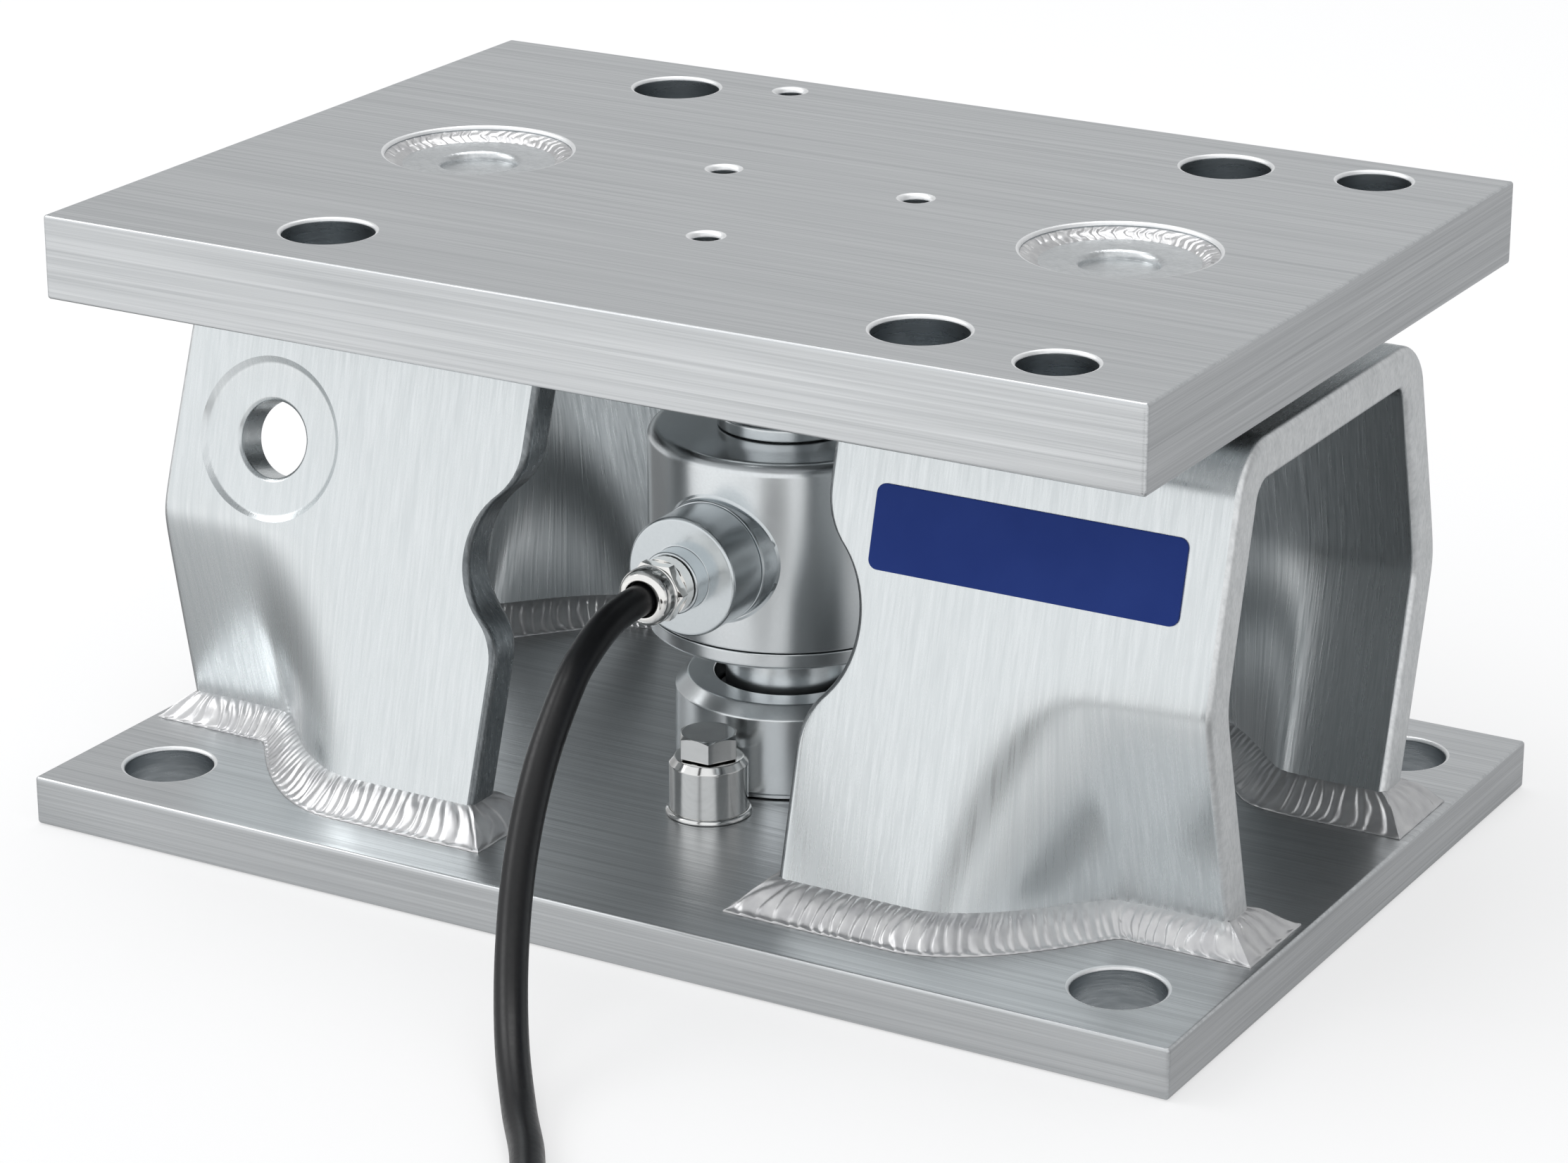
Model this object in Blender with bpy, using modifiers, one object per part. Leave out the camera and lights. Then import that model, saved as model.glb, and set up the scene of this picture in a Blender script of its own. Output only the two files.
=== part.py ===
"""Load cell weighing module: a canister load cell rocks between a base plate and a floating top plate.

Two pressed yokes are welded to the base plate. The top plate rests on the load cell's column through two
receivers, and a pin under each end of it passes through a yoke with a washer and a bolt below, which keeps
the plate from lifting or wandering. The origin is the centre of the base plate's underside, X runs along
the long side, the cable leaves towards -Y and Z is up.
"""

import math

import bmesh
import bpy
from mathutils import Matrix, Vector

MM = 0.001

# Running gap between pieces that touch
GAP = 0.3 * MM

# Base plate
BASE_LENGTH = 300 * MM
BASE_WIDTH = 200 * MM
BASE_THICK = 12 * MM
BASE_HOLE_RADIUS = 10.7 * MM
BASE_HOLE_FROM_END = 23 * MM
BASE_HOLE_FROM_SIDE = 22.6 * MM

# Top plate
TOP_LENGTH = 280 * MM
TOP_WIDTH = 196 * MM
TOP_THICK = 20 * MM
COLUMN_ROOM = 120 * MM
TOP_HOLE_RADIUS = 10.7 * MM
TOP_HOLE_FROM_END = 64 * MM
TOP_HOLE_FROM_SIDE = 22 * MM
SIDE_HOLE_RADIUS = 8.7 * MM
SIDE_HOLE_FROM_END = 28.6 * MM
SIDE_HOLE_FROM_SIDE = 16 * MM
TAPPED_RADIUS = 3.4 * MM
TAPPED_PLACES = ((-25.8 * MM, 14.6 * MM), (25.8 * MM, 14.6 * MM), (0, -36.8 * MM))
EDGE_TAPPED_X = -49.3 * MM
EDGE_TAPPED_FROM_SIDE = 11.1 * MM
PLATE_CHAMFER = 0.8 * MM
HOLE_CHAMFER = 0.6 * MM

# Pressed yokes, one at each end
YOKE_INNER_END = 40.9 * MM
YOKE_END_INSET = 10.5 * MM
YOKE_WALL = 10 * MM
YOKE_TOP_GAP = 4.5 * MM
YOKE_FOOT_INSET = 22.45 * MM
YOKE_BEND_RADIUS = 15 * MM
LEG_FLARE = 0.261
FOLD_DRAFT = 0.25
KINK_HEIGHT = 73 * MM
KINK_ROUND = 5 * MM
DENT_FROM_END = 43.5 * MM
DENT_ARCH = 18 * MM
DENT_BLEND = 6 * MM
DENT_BLEND_SHARE = 0.45
NOTCH_HEIGHT = 76 * MM
NOTCH_DEPTH = 11.4 * MM
NOTCH_RADIUS = 19 * MM
NOTCH_BLEND_RADIUS = 14 * MM
SPOT_FROM_END = 30.5 * MM
SPOT_HEIGHT = 91.3 * MM
SPOT_RADIUS = 18.4 * MM
SPOT_DEPTH = 1.3 * MM
SPOT_BORE_RADIUS = 9.2 * MM

# Fillet welds at the yokes' feet
WELD_LEG = 8 * MM
WELD_HEIGHT = 6.2 * MM
WELD_TOP = 0.9 * MM
WELD_BULGE = 0.8 * MM

# Pins, washers and bolts that hold the top plate down
PIN_FROM_INNER_END = 44.6 * MM
PIN_HEAD_RADIUS = 22.2 * MM
PIN_HEAD_DEPTH = 2.9 * MM
PIN_DIMPLE_RADIUS = 9 * MM
PIN_DIMPLE_DEPTH = 2 * MM
PIN_DIMPLE_ROUND = 1.8 * MM
PIN_RADIUS = 10 * MM
PIN_TRAVEL = 4.4 * MM
LIFT_ROOM = 3 * MM
RING_WELD_WIDTH = 3.8 * MM
RING_WELD_HEIGHT = 1.6 * MM
WASHER_RADIUS = 20.5 * MM
WASHER_THICK = 4 * MM
BOLT_RADIUS = 6 * MM
BOLT_HEAD_FLATS = 18 * MM
BOLT_HEAD_HEIGHT = 7.5 * MM
BOLT_REACH = 14 * MM

# Load cell: a column with domed ends inside a round can
COLUMN_RADIUS = 14.8 * MM
COLUMN_FOOT = 12 * MM
DOME_RADIUS = 60 * MM
DOME_FACE = 12.5 * MM
END_CHAMFER = 1.6 * MM
WAIST_RADIUS = 10 * MM
WAIST_LENGTH = 24 * MM
WAIST_TAPER = 5 * MM
CAN_RADIUS = 33.1 * MM
CAN_BOTTOM = 35.5 * MM
CAN_HEIGHT = 50 * MM
CAN_WALL = 3 * MM
CAN_ROUND = 3 * MM
COVER_HEIGHT = 3.9 * MM
COVER_STEP = 0.5 * MM
HUB_RADIUS = 16.7 * MM
HUB_HEIGHT = 3.5 * MM
GAUGE_WIDTH = 6 * MM
GAUGE_HEIGHT = 9 * MM
GAUGE_THICK = 0.5 * MM
BOARD_THICK = 1.6 * MM
BOARD_RIM = 1.5 * MM
BOARD_WIDTH = 9 * MM

# Receivers that the column rocks in, and the seal rings round its ends
RECEIVER_RADIUS = 26.9 * MM
RECEIVER_BORE = 17.5 * MM
RECEIVER_HEIGHT = 23.3 * MM
RECEIVER_CHAMFER = 3 * MM
RECEIVER_GROOVE = 0.6 * MM
SPIGOT_RADIUS = 10 * MM
SPIGOT_LENGTH = 5 * MM
SEAL_WIDTH = 1.7 * MM
SEAL_HEIGHT = 4 * MM
SEAL_FOOT = 2.5 * MM

# Side port with its cover and cable gland
PORT_HEIGHT = 73.4 * MM
PORT_TURN = -0.9
PORT_RADIUS = 14.6 * MM
PORT_FLARE = 0.4 * MM
PORT_SADDLE = 30 * MM
PORT_BORE = 8 * MM
PORT_LENGTH = 35.2 * MM
PORT_COVER_RADIUS = 14.3 * MM
PORT_COVER_LENGTH = 12.1 * MM
PORT_COVER_CHAMFER = 0.5 * MM
PORT_HUB_RADIUS = 7.45 * MM
PORT_HUB_LENGTH = 4.8 * MM
GLAND_COLLAR_RADIUS = 6.9 * MM
GLAND_COLLAR_LENGTH = 3.2 * MM
GLAND_FLATS = 13 * MM
GLAND_HEX_LENGTH = 3.5 * MM
GLAND_HEX_CHAMFER = 0.8 * MM
GLAND_NUT_RADIUS = 6.8 * MM
GLAND_NUT_LENGTH = 5.2 * MM
GLAND_NUT_LIP = 0.7 * MM
GLAND_SEAL_WALL = 1.1 * MM

# Earthing post and its screw
POST_Y = -36.9 * MM
POST_RADIUS = 9.36 * MM
POST_HEIGHT = 14 * MM
POST_CHAMFER = 1.6 * MM
POST_FOOT_RING = 0.9 * MM
SCREW_RADIUS = 4 * MM
SCREW_FLATS = 13 * MM
SCREW_HEAD_HEIGHT = 5.5 * MM
SCREW_LENGTH = 10 * MM

# Cable: a round black lead with five cores, wound into a coil beside the module
CABLE_RADIUS = 3.7 * MM
CABLE_ROUTE = (
    (-0.0010, -0.0620, 0.0734), (-0.0010, -0.0710, 0.0733), (-0.0006, -0.0800, 0.0723), (0.0004, -0.0900, 0.0694),
    (0.0018, -0.1000, 0.0648), (0.0049, -0.1167, 0.0523), (0.0095, -0.1320, 0.0375), (0.0168, -0.1472, 0.0230),
    (0.0265, -0.1626, 0.0110), (0.0390, -0.1793, 0.0048), (0.0515, -0.1955, 0.0038), (0.0615, -0.2130, 0.0038),
    (0.0655, -0.2340, 0.0038), (0.0610, -0.2560, 0.0038), (0.0515, -0.2770, 0.0038), (0.0445, -0.2980, 0.0038),
)
CABLE_STEPS = 30
COIL_X = 116 * MM
COIL_Y = -307 * MM
COIL_MEAN_RADIUS = 45 * MM
COIL_TURNS_WIDE = 6
COIL_ROWS = 3
COIL_ROW_RISE = 6.41 * MM
COIL_REST = 1.6 * MM
TIE_THICK = 1.2 * MM
TIE_WIDTH = 8 * MM
TIE_ANGLES = {"coil_tie_a": 100, "coil_tie_b": 230}
TAIL_RADIUS = 41 * MM
TAIL_START = -112
TAIL_END = -62
SLEEVE_RADIUS = 4.3 * MM
SLEEVE_END = -42
CORE_RADIUS = 0.8 * MM
CORE_PITCH = 3.2 * MM
CORE_END = 8
CORE_NAMES = ("core_red", "core_white", "core_green", "core_black", "core_drain")

# Fineness of round pieces
LARGE_STEPS = 28
MIDDLE_STEPS = 24
SMALL_STEPS = 16

# Heights and places that follow from the sizes above
TOP_UNDERSIDE = BASE_THICK + COLUMN_ROOM
TOP_FACE = TOP_UNDERSIDE + TOP_THICK
YOKE_TOP = TOP_UNDERSIDE - YOKE_TOP_GAP
YOKE_UNDERSIDE = YOKE_TOP - YOKE_WALL
YOKE_FOOT = BASE_THICK + GAP
YOKE_OUTER_END = BASE_LENGTH / 2 - YOKE_END_INSET
YOKE_TOP_HALF = BASE_WIDTH / 2 - YOKE_FOOT_INSET - LEG_FLARE * (YOKE_TOP - BASE_THICK)
DENT_START = YOKE_OUTER_END - DENT_FROM_END
SPOT_X = YOKE_OUTER_END - SPOT_FROM_END
PIN_X = YOKE_INNER_END + PIN_FROM_INNER_END
FLARE_ANGLE = math.atan(LEG_FLARE)
DOME_LOW = BASE_THICK + COLUMN_FOOT
DOME_HIGH = TOP_UNDERSIDE - COLUMN_FOOT + 0.6 * MM
CAN_FOOT = BASE_THICK + CAN_BOTTOM
CAN_TOP = CAN_FOOT + CAN_HEIGHT
PORT_FACE = PORT_LENGTH + GAP + PORT_COVER_LENGTH
PORT_HUB_FACE = PORT_FACE + PORT_HUB_LENGTH
GLAND_START = PORT_HUB_FACE + GAP
GLAND_HEX_START = GLAND_START + GLAND_COLLAR_LENGTH
GLAND_NUT_START = GLAND_HEX_START + GLAND_HEX_LENGTH + GAP
GLAND_FACE = GLAND_NUT_START + GLAND_NUT_LENGTH
GLAND_MOUTH = CABLE_RADIUS + GAP + GLAND_SEAL_WALL
COIL_PITCH = 2 * CABLE_RADIUS


def clear_scene():
    for piece in list(bpy.data.objects):
        bpy.data.objects.remove(piece, do_unlink=True)


def new_collection(name):
    group = bpy.data.collections.new(name)
    bpy.context.scene.collection.children.link(group)
    return group


def finish(name, colour, roughness, metallic):
    material = bpy.data.materials.new(name)
    material.use_nodes = True
    shader = material.node_tree.nodes["Principled BSDF"]
    shader.inputs["Base Color"].default_value = (*colour, 1)
    shader.inputs["Roughness"].default_value = roughness
    shader.inputs["Metallic"].default_value = metallic
    return material


clear_scene()
PIECES = new_collection("load_cell_weighing_module")
CUTTERS = new_collection("cutters")

PLATE_STEEL = finish("plate_steel", (0.56, 0.59, 0.60), 0.38, 1)
PRESSED_STEEL = finish("pressed_steel", (0.68, 0.72, 0.74), 0.36, 1)
WELD_METAL = finish("weld_metal", (0.70, 0.70, 0.71), 0.30, 1)
SATIN_STEEL = finish("satin_steel", (0.58, 0.61, 0.63), 0.30, 1)
POLISHED_STEEL = finish("polished_steel", (0.75, 0.75, 0.73), 0.14, 1)
NICKEL = finish("nickel", (0.80, 0.78, 0.74), 0.10, 1)
ZINC = finish("zinc", (0.55, 0.56, 0.56), 0.35, 1)
SEAL_RUBBER = finish("seal_rubber", (0.03, 0.03, 0.03), 0.60, 0)
BLACK_JACKET = finish("black_jacket", (0.012, 0.012, 0.013), 0.42, 0)
STRAP = finish("strap", (0.03, 0.03, 0.035), 0.80, 0)
BOARD_GREEN = finish("board_green", (0.03, 0.16, 0.07), 0.45, 0)
GAUGE_FOIL = finish("gauge_foil", (0.60, 0.33, 0.10), 0.35, 1)
CORE_COLOURS = {
    "core_red": (0.55, 0.02, 0.02),
    "core_white": (0.75, 0.74, 0.70),
    "core_green": (0.02, 0.28, 0.08),
    "core_black": (0.02, 0.02, 0.02),
    "core_drain": (0.62, 0.55, 0.05),
}


def place(name, mesh, material=None, location=(0, 0, 0), rotation=(0, 0, 0)):
    """A piece of the module, or a cutter when it has no material."""
    piece = bpy.data.objects.new(name, mesh)
    piece.location = location
    piece.rotation_euler = rotation
    if material is None:
        piece.hide_render = True
        piece.display_type = "WIRE"
        CUTTERS.objects.link(piece)
    else:
        mesh.materials.append(material)
        PIECES.objects.link(piece)
    return piece


def cut(piece, *cutters):
    for cutter in cutters:
        boolean = piece.modifiers.new(cutter.name, "BOOLEAN")
        boolean.operation = "DIFFERENCE"
        boolean.solver = "EXACT"
        boolean.object = cutter


def box(name, low, high, material=None):
    """A box between two corners, in its own mesh."""
    shape = bmesh.new()
    bmesh.ops.create_cube(shape, size=1)
    size = [b - a for a, b in zip(low, high)]
    middle = [(a + b) / 2 for a, b in zip(low, high)]
    bmesh.ops.scale(shape, vec=size, verts=shape.verts)
    mesh = bpy.data.meshes.new(name)
    shape.to_mesh(mesh)
    shape.free()
    return place(name, mesh, material, middle)


def turned(name, profile, material=None, location=(0, 0, 0), rotation=(0, 0, 0), steps=LARGE_STEPS):
    """A turned shape. The profile's (radius, height) points run down the outer side; it closes on the axis,
    or on itself where its first point stands off the axis."""
    count = len(profile)
    edges = [(i, i + 1) for i in range(count - 1)]
    if profile[0][0] > 0:
        edges.append((count - 1, 0))
    mesh = bpy.data.meshes.new(name)
    mesh.from_pydata([(radius, 0, height) for radius, height in profile], edges, [])
    piece = place(name, mesh, material, location, rotation)
    screw = piece.modifiers.new("turn", "SCREW")
    screw.axis = "Z"
    screw.steps = steps
    screw.render_steps = steps
    screw.use_merge_vertices = True
    screw.merge_threshold = 0.00001
    return piece


def arc(centre, radius, start, end, steps):
    """Points on an arc, angles in degrees."""
    points = []
    for i in range(steps + 1):
        angle = math.radians(start + (end - start) * i / steps)
        points.append((centre[0] + radius * math.cos(angle), centre[1] + radius * math.sin(angle)))
    return points


def drill(name, radius, low, high, x=0.0, y=0.0, chamfer=HOLE_CHAMFER, steps=SMALL_STEPS):
    """Cutter for a hole through a plate from low to high, with a chamfer at both mouths."""
    past = 1 * MM
    wide = radius + chamfer + past
    profile = [
        (0, high + past), (wide, high + past), (radius, high - chamfer),
        (radius, low + chamfer), (wide, low - past), (0, low - past),
    ]
    return turned(name, profile, None, (x, y, 0), steps=steps)


def hexagon(name, flats, low, high, material=None, location=(0, 0, 0), rotation=(0, 0, 0)):
    """A hexagonal prism with a corner towards +X."""
    shape = bmesh.new()
    corner = flats / math.sqrt(3)
    bmesh.ops.create_cone(
        shape, cap_ends=True, segments=6, radius1=corner, radius2=corner, depth=high - low
    )
    bmesh.ops.rotate(shape, verts=shape.verts, matrix=Matrix.Rotation(math.radians(90), 3, "Z"))
    bmesh.ops.translate(shape, verts=shape.verts, vec=(0, 0, (low + high) / 2))
    mesh = bpy.data.meshes.new(name)
    shape.to_mesh(mesh)
    shape.free()
    return place(name, mesh, material, location, rotation)


def extruded(name, outlines, thickness, material=None, matrix=None):
    """A flat outline with optional holes, given as lists of (u, v) points, made solid by half a thickness
    each way and returned as a mesh piece."""
    curve = bpy.data.curves.new(name, "CURVE")
    curve.dimensions = "2D"
    curve.fill_mode = "BOTH"
    curve.extrude = thickness / 2
    for outline in outlines:
        spline = curve.splines.new("POLY")
        spline.points.add(len(outline) - 1)
        for point, (u, v) in zip(spline.points, outline):
            point.co = (u, v, 0, 1)
        spline.use_cyclic_u = True
    guide = bpy.data.objects.new(name + "_outline", curve)
    bpy.context.scene.collection.objects.link(guide)
    bpy.context.view_layer.update()
    mesh = bpy.data.meshes.new_from_object(guide.evaluated_get(bpy.context.evaluated_depsgraph_get()))
    bpy.data.objects.remove(guide, do_unlink=True)
    shape = bmesh.new()
    shape.from_mesh(mesh)
    bmesh.ops.remove_doubles(shape, verts=shape.verts, dist=0.00001)
    shape.to_mesh(mesh)
    shape.free()
    mesh.name = name
    mesh.materials.clear()
    piece = place(name, mesh, material)
    if matrix is not None:
        piece.matrix_world = matrix
    return piece


def smooth_route(points, steps):
    """Evenly spaced points on a smooth curve through the given ones."""
    route = [Vector(p) for p in points]
    ends = [2 * route[0] - route[1]] + route + [2 * route[-1] - route[-2]]
    fine = []
    for before, start, end, after in zip(ends, ends[1:], ends[2:], ends[3:]):
        for i in range(16):
            t = i / 16
            fine.append(0.5 * (
                2 * start + (end - before) * t
                + (2 * before - 5 * start + 4 * end - after) * t * t
                + (3 * start - before - 3 * end + after) * t * t * t
            ))
    fine.append(route[-1])
    lengths = [0.0]
    for a, b in zip(fine, fine[1:]):
        lengths.append(lengths[-1] + (b - a).length)
    even, j = [], 0
    for i in range(steps + 1):
        goal = lengths[-1] * i / steps
        while j < len(fine) - 2 and lengths[j + 1] < goal:
            j += 1
        share = (goal - lengths[j]) / (lengths[j + 1] - lengths[j])
        even.append(fine[j].lerp(fine[j + 1], min(share, 1)))
    return even


def tube(name, points, radius, material):
    """A round cord along points, with filled ends."""
    curve = bpy.data.curves.new(name, "CURVE")
    curve.dimensions = "3D"
    curve.bevel_depth = radius
    curve.bevel_resolution = 2
    curve.use_fill_caps = True
    spline = curve.splines.new("POLY")
    spline.points.add(len(points) - 1)
    for point, place_at in zip(spline.points, points):
        point.co = (*place_at, 1)
    curve.materials.append(material)
    piece = bpy.data.objects.new(name, curve)
    PIECES.objects.link(piece)
    return piece


def chamfer_edges(piece, width):
    bevel = piece.modifiers.new("edges", "BEVEL")
    bevel.width = width
    bevel.segments = 1
    bevel.limit_method = "ANGLE"


def corners(length, width, from_end, from_side):
    """Four places near a plate's corners, front left first and counter-clockwise."""
    x, y = length / 2 - from_end, width / 2 - from_side
    return (-x, -y), (x, -y), (x, y), (-x, y)


def base_plate():
    plate = box(
        "base_plate", (-BASE_LENGTH / 2, -BASE_WIDTH / 2, 0), (BASE_LENGTH / 2, BASE_WIDTH / 2, BASE_THICK),
        PLATE_STEEL,
    )
    chamfer_edges(plate, PLATE_CHAMFER)
    for i, (x, y) in enumerate(corners(BASE_LENGTH, BASE_WIDTH, BASE_HOLE_FROM_END, BASE_HOLE_FROM_SIDE)):
        cut(plate, drill(f"base_hole_{i}", BASE_HOLE_RADIUS, 0, BASE_THICK, x, y))


def top_plate():
    plate = box(
        "top_plate", (-TOP_LENGTH / 2, -TOP_WIDTH / 2, TOP_UNDERSIDE), (TOP_LENGTH / 2, TOP_WIDTH / 2, TOP_FACE),
        PLATE_STEEL,
    )
    chamfer_edges(plate, PLATE_CHAMFER)
    for i, (x, y) in enumerate(corners(TOP_LENGTH, TOP_WIDTH, TOP_HOLE_FROM_END, TOP_HOLE_FROM_SIDE)):
        cut(plate, drill(f"top_hole_{i}", TOP_HOLE_RADIUS, TOP_UNDERSIDE, TOP_FACE, x, y))
    right_end = corners(TOP_LENGTH, TOP_WIDTH, SIDE_HOLE_FROM_END, SIDE_HOLE_FROM_SIDE)[1:3]
    for i, (x, y) in enumerate(right_end):
        cut(plate, drill(f"side_hole_{i}", SIDE_HOLE_RADIUS, TOP_UNDERSIDE, TOP_FACE, x, y))
    for i, (x, y) in enumerate(TAPPED_PLACES + ((EDGE_TAPPED_X, TOP_WIDTH / 2 - EDGE_TAPPED_FROM_SIDE),)):
        cut(plate, drill(f"tapped_hole_{i}", TAPPED_RADIUS, TOP_UNDERSIDE, TOP_FACE, x, y, steps=12))
    for i, side in enumerate((-1, 1)):
        seat = drill(
            f"pin_seat_{i}", PIN_HEAD_RADIUS + GAP, TOP_UNDERSIDE, TOP_FACE, side * PIN_X, steps=MIDDLE_STEPS
        )
        cut(plate, seat)
    bore = turned(
        "spigot_bore",
        [
            (0, TOP_UNDERSIDE + SPIGOT_LENGTH + GAP),
            (SPIGOT_RADIUS + GAP, TOP_UNDERSIDE + SPIGOT_LENGTH + GAP),
            (SPIGOT_RADIUS + GAP, TOP_UNDERSIDE - 1 * MM),
            (0, TOP_UNDERSIDE - 1 * MM),
        ],
        steps=SMALL_STEPS,
    )
    cut(plate, bore)


def dent_depth(x, z):
    """How far the pressed dent draws a leg's outer face inwards, at x along the yoke and height z."""
    below = KINK_HEIGHT - z
    fall = (below + math.hypot(below, KINK_ROUND)) / 2
    depth = (LEG_FLARE + FOLD_DRAFT) * fall
    rise = min(max((z - BASE_THICK) / (KINK_HEIGHT - BASE_THICK), 0), 1)
    middle = DENT_START + DENT_ARCH * (1 - math.sqrt(1 - rise * rise))
    half = DENT_BLEND + DENT_BLEND_SHARE * depth
    share = min(max((x - middle + half) / (2 * half), 0), 1)
    return depth * (0.5 - 0.5 * math.cos(math.pi * share))


def leg_face(x, z):
    """Distance of a leg's outer face from the yoke's middle plane."""
    return YOKE_TOP_HALF + LEG_FLARE * (YOKE_TOP - z) - dent_depth(x, z)


def yoke_section(x, foot):
    """Half of a yoke's outer line at x, from the middle of its top down to a height below its foot."""
    turn = math.pi / 2 - FLARE_ANGLE
    start = YOKE_TOP_HALF - YOKE_BEND_RADIUS * math.tan(turn / 2)
    centre = (start, YOKE_TOP - YOKE_BEND_RADIUS)
    points = [(0, YOKE_TOP)]
    points += arc(centre, YOKE_BEND_RADIUS, 90, math.degrees(FLARE_ANGLE), 4)
    leg_top = points[-1][1]
    rows_up, rows_down = 2, 7
    heights = []
    for i in range(-rows_up + 1, rows_down + 1):
        reach = leg_top - KINK_HEIGHT if i < 0 else KINK_HEIGHT - foot
        u = i / (rows_up if i < 0 else rows_down)
        heights.append(KINK_HEIGHT - reach * (0.35 * u + 0.65 * u ** 3))
    return points + [(leg_face(x, z), z) for z in heights]


def yoke_sheet(name, start, material=None, rotation=(0, 0, 0), grow=0.0):
    """A yoke as one sheet: half of its outer face, mirrored and thickened inwards. grow adds clearance."""
    dent_low, dent_high, pitch = DENT_START - 20 * MM, DENT_START + 24 * MM, 5.5 * MM
    stations = [start, dent_low]
    while stations[-1] < dent_high - pitch / 2:
        stations.append(stations[-1] + pitch)
    stations += [YOKE_OUTER_END + grow]
    shape = bmesh.new()
    rows = []
    for x in stations:
        rows.append([shape.verts.new((x, y, z)) for y, z in yoke_section(x, BASE_THICK - 9 * MM)])
    for near, far in zip(rows, rows[1:]):
        for i in range(len(near) - 1):
            shape.faces.new((near[i], far[i], far[i + 1]))
            shape.faces.new((near[i], far[i + 1], near[i + 1]))
    mesh = bpy.data.meshes.new(name)
    shape.to_mesh(mesh)
    shape.free()
    yoke = place(name, mesh, material, rotation=rotation)
    mirror = yoke.modifiers.new("other_leg", "MIRROR")
    mirror.use_axis = (False, True, False)
    mirror.merge_threshold = 0.00001
    wall = yoke.modifiers.new("wall", "SOLIDIFY")
    wall.thickness = YOKE_WALL + 2 * grow
    wall.offset = -1 + 2 * grow / (YOKE_WALL + grow)
    wall.use_even_offset = True
    return yoke


def notch_outline():
    """The inner end's edge line in (x, z), bulging clear of the load cell, closed on the cell's side."""
    blend = NOTCH_BLEND_RADIUS
    centre_x = YOKE_INNER_END + NOTCH_DEPTH - NOTCH_RADIUS
    blend_x = YOKE_INNER_END + blend
    rise = math.sqrt((NOTCH_RADIUS + blend) ** 2 - (blend_x - centre_x) ** 2)
    lean = math.degrees(math.atan2(rise, blend_x - centre_x))
    steps = 5
    upper = arc((blend_x, NOTCH_HEIGHT + rise), blend, 180, 180 + lean, steps)
    round_cell = arc((centre_x, NOTCH_HEIGHT), NOTCH_RADIUS, lean, -lean, 2 * steps)
    lower = arc((blend_x, NOTCH_HEIGHT - rise), blend, 180 - lean, 180, steps)
    past = 20 * MM
    outline = [(YOKE_INNER_END, YOKE_TOP + past)] + upper + round_cell[1:-1] + lower
    outline += [(YOKE_INNER_END, -past), (YOKE_INNER_END - 2 * past, -past)]
    outline += [(YOKE_INNER_END - 2 * past, YOKE_TOP + past)]
    return outline


def yoke(name, side):
    """One pressed yoke; side is -1 on the left and 1 on the right."""
    turn = (0, 0, 0 if side > 0 else math.pi)
    piece = yoke_sheet(name, YOKE_INNER_END - 6 * MM, PRESSED_STEEL, turn)
    upright = Matrix.Rotation(turn[2], 4, "Z") @ Matrix.Rotation(math.radians(90), 4, "X")
    notch = extruded(name + "_notch", [notch_outline()], BASE_WIDTH, matrix=upright)
    wide = BASE_LENGTH
    foot = box(name + "_foot_cut", (-wide, -wide, -wide), (wide, wide, YOKE_FOOT))
    pin_hole = drill(
        name + "_pin_hole", PIN_RADIUS + PIN_TRAVEL, YOKE_UNDERSIDE, YOKE_TOP, side * PIN_X, chamfer=0.4 * MM,
        steps=MIDDLE_STEPS,
    )
    cut(piece, notch, foot, pin_hole)
    return piece


def spot_face(piece):
    """The left yoke's front leg has a round spot face with a bore through it, square to the leg."""
    face = YOKE_TOP_HALF + LEG_FLARE * (YOKE_TOP - SPOT_HEIGHT)
    place_at = (-SPOT_X, -face, SPOT_HEIGHT)
    square_to_leg = (math.pi / 2 - FLARE_ANGLE, 0, 0)
    past = 6 * MM
    round_edge = 1 * MM
    profile = [(0, past), (SPOT_RADIUS + round_edge, past), (SPOT_RADIUS + round_edge, 0)]
    profile += [(SPOT_RADIUS, -SPOT_DEPTH + 0.3 * MM), (SPOT_RADIUS - 0.5 * MM, -SPOT_DEPTH)]
    profile += [(SPOT_BORE_RADIUS + 0.5 * MM, -SPOT_DEPTH), (SPOT_BORE_RADIUS, -SPOT_DEPTH - 0.5 * MM)]
    profile += [(SPOT_BORE_RADIUS, -YOKE_WALL - past), (0, -YOKE_WALL - past)]
    cut(piece, turned("spot_face_cut", profile, None, place_at, square_to_leg, steps=MIDDLE_STEPS))


def yokes():
    left = yoke("yoke_left", -1)
    yoke("yoke_right", 1)
    spot_face(left)


def foot_slope(x, z):
    step = 1 * MM
    inside = min(max(x, YOKE_INNER_END + step), YOKE_OUTER_END - step)
    return (leg_face(inside + step, z) - leg_face(inside - step, z)) / (2 * step)


def weld_section(share, height, reach):
    """Outer and inner point of a weld's outline at a share of its length, for one height and reach."""
    start, end = YOKE_INNER_END - reach, YOKE_OUTER_END + reach
    x = start + (end - start) * share
    on_leg = min(max(x, YOKE_INNER_END), YOKE_OUTER_END)
    slant = math.hypot(1, foot_slope(x, height))
    face = leg_face(on_leg, height)
    wall = YOKE_WALL / math.cos(FLARE_ANGLE)
    return (x, face + reach * slant, height), (x, face - (wall + reach) * slant, height)


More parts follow.
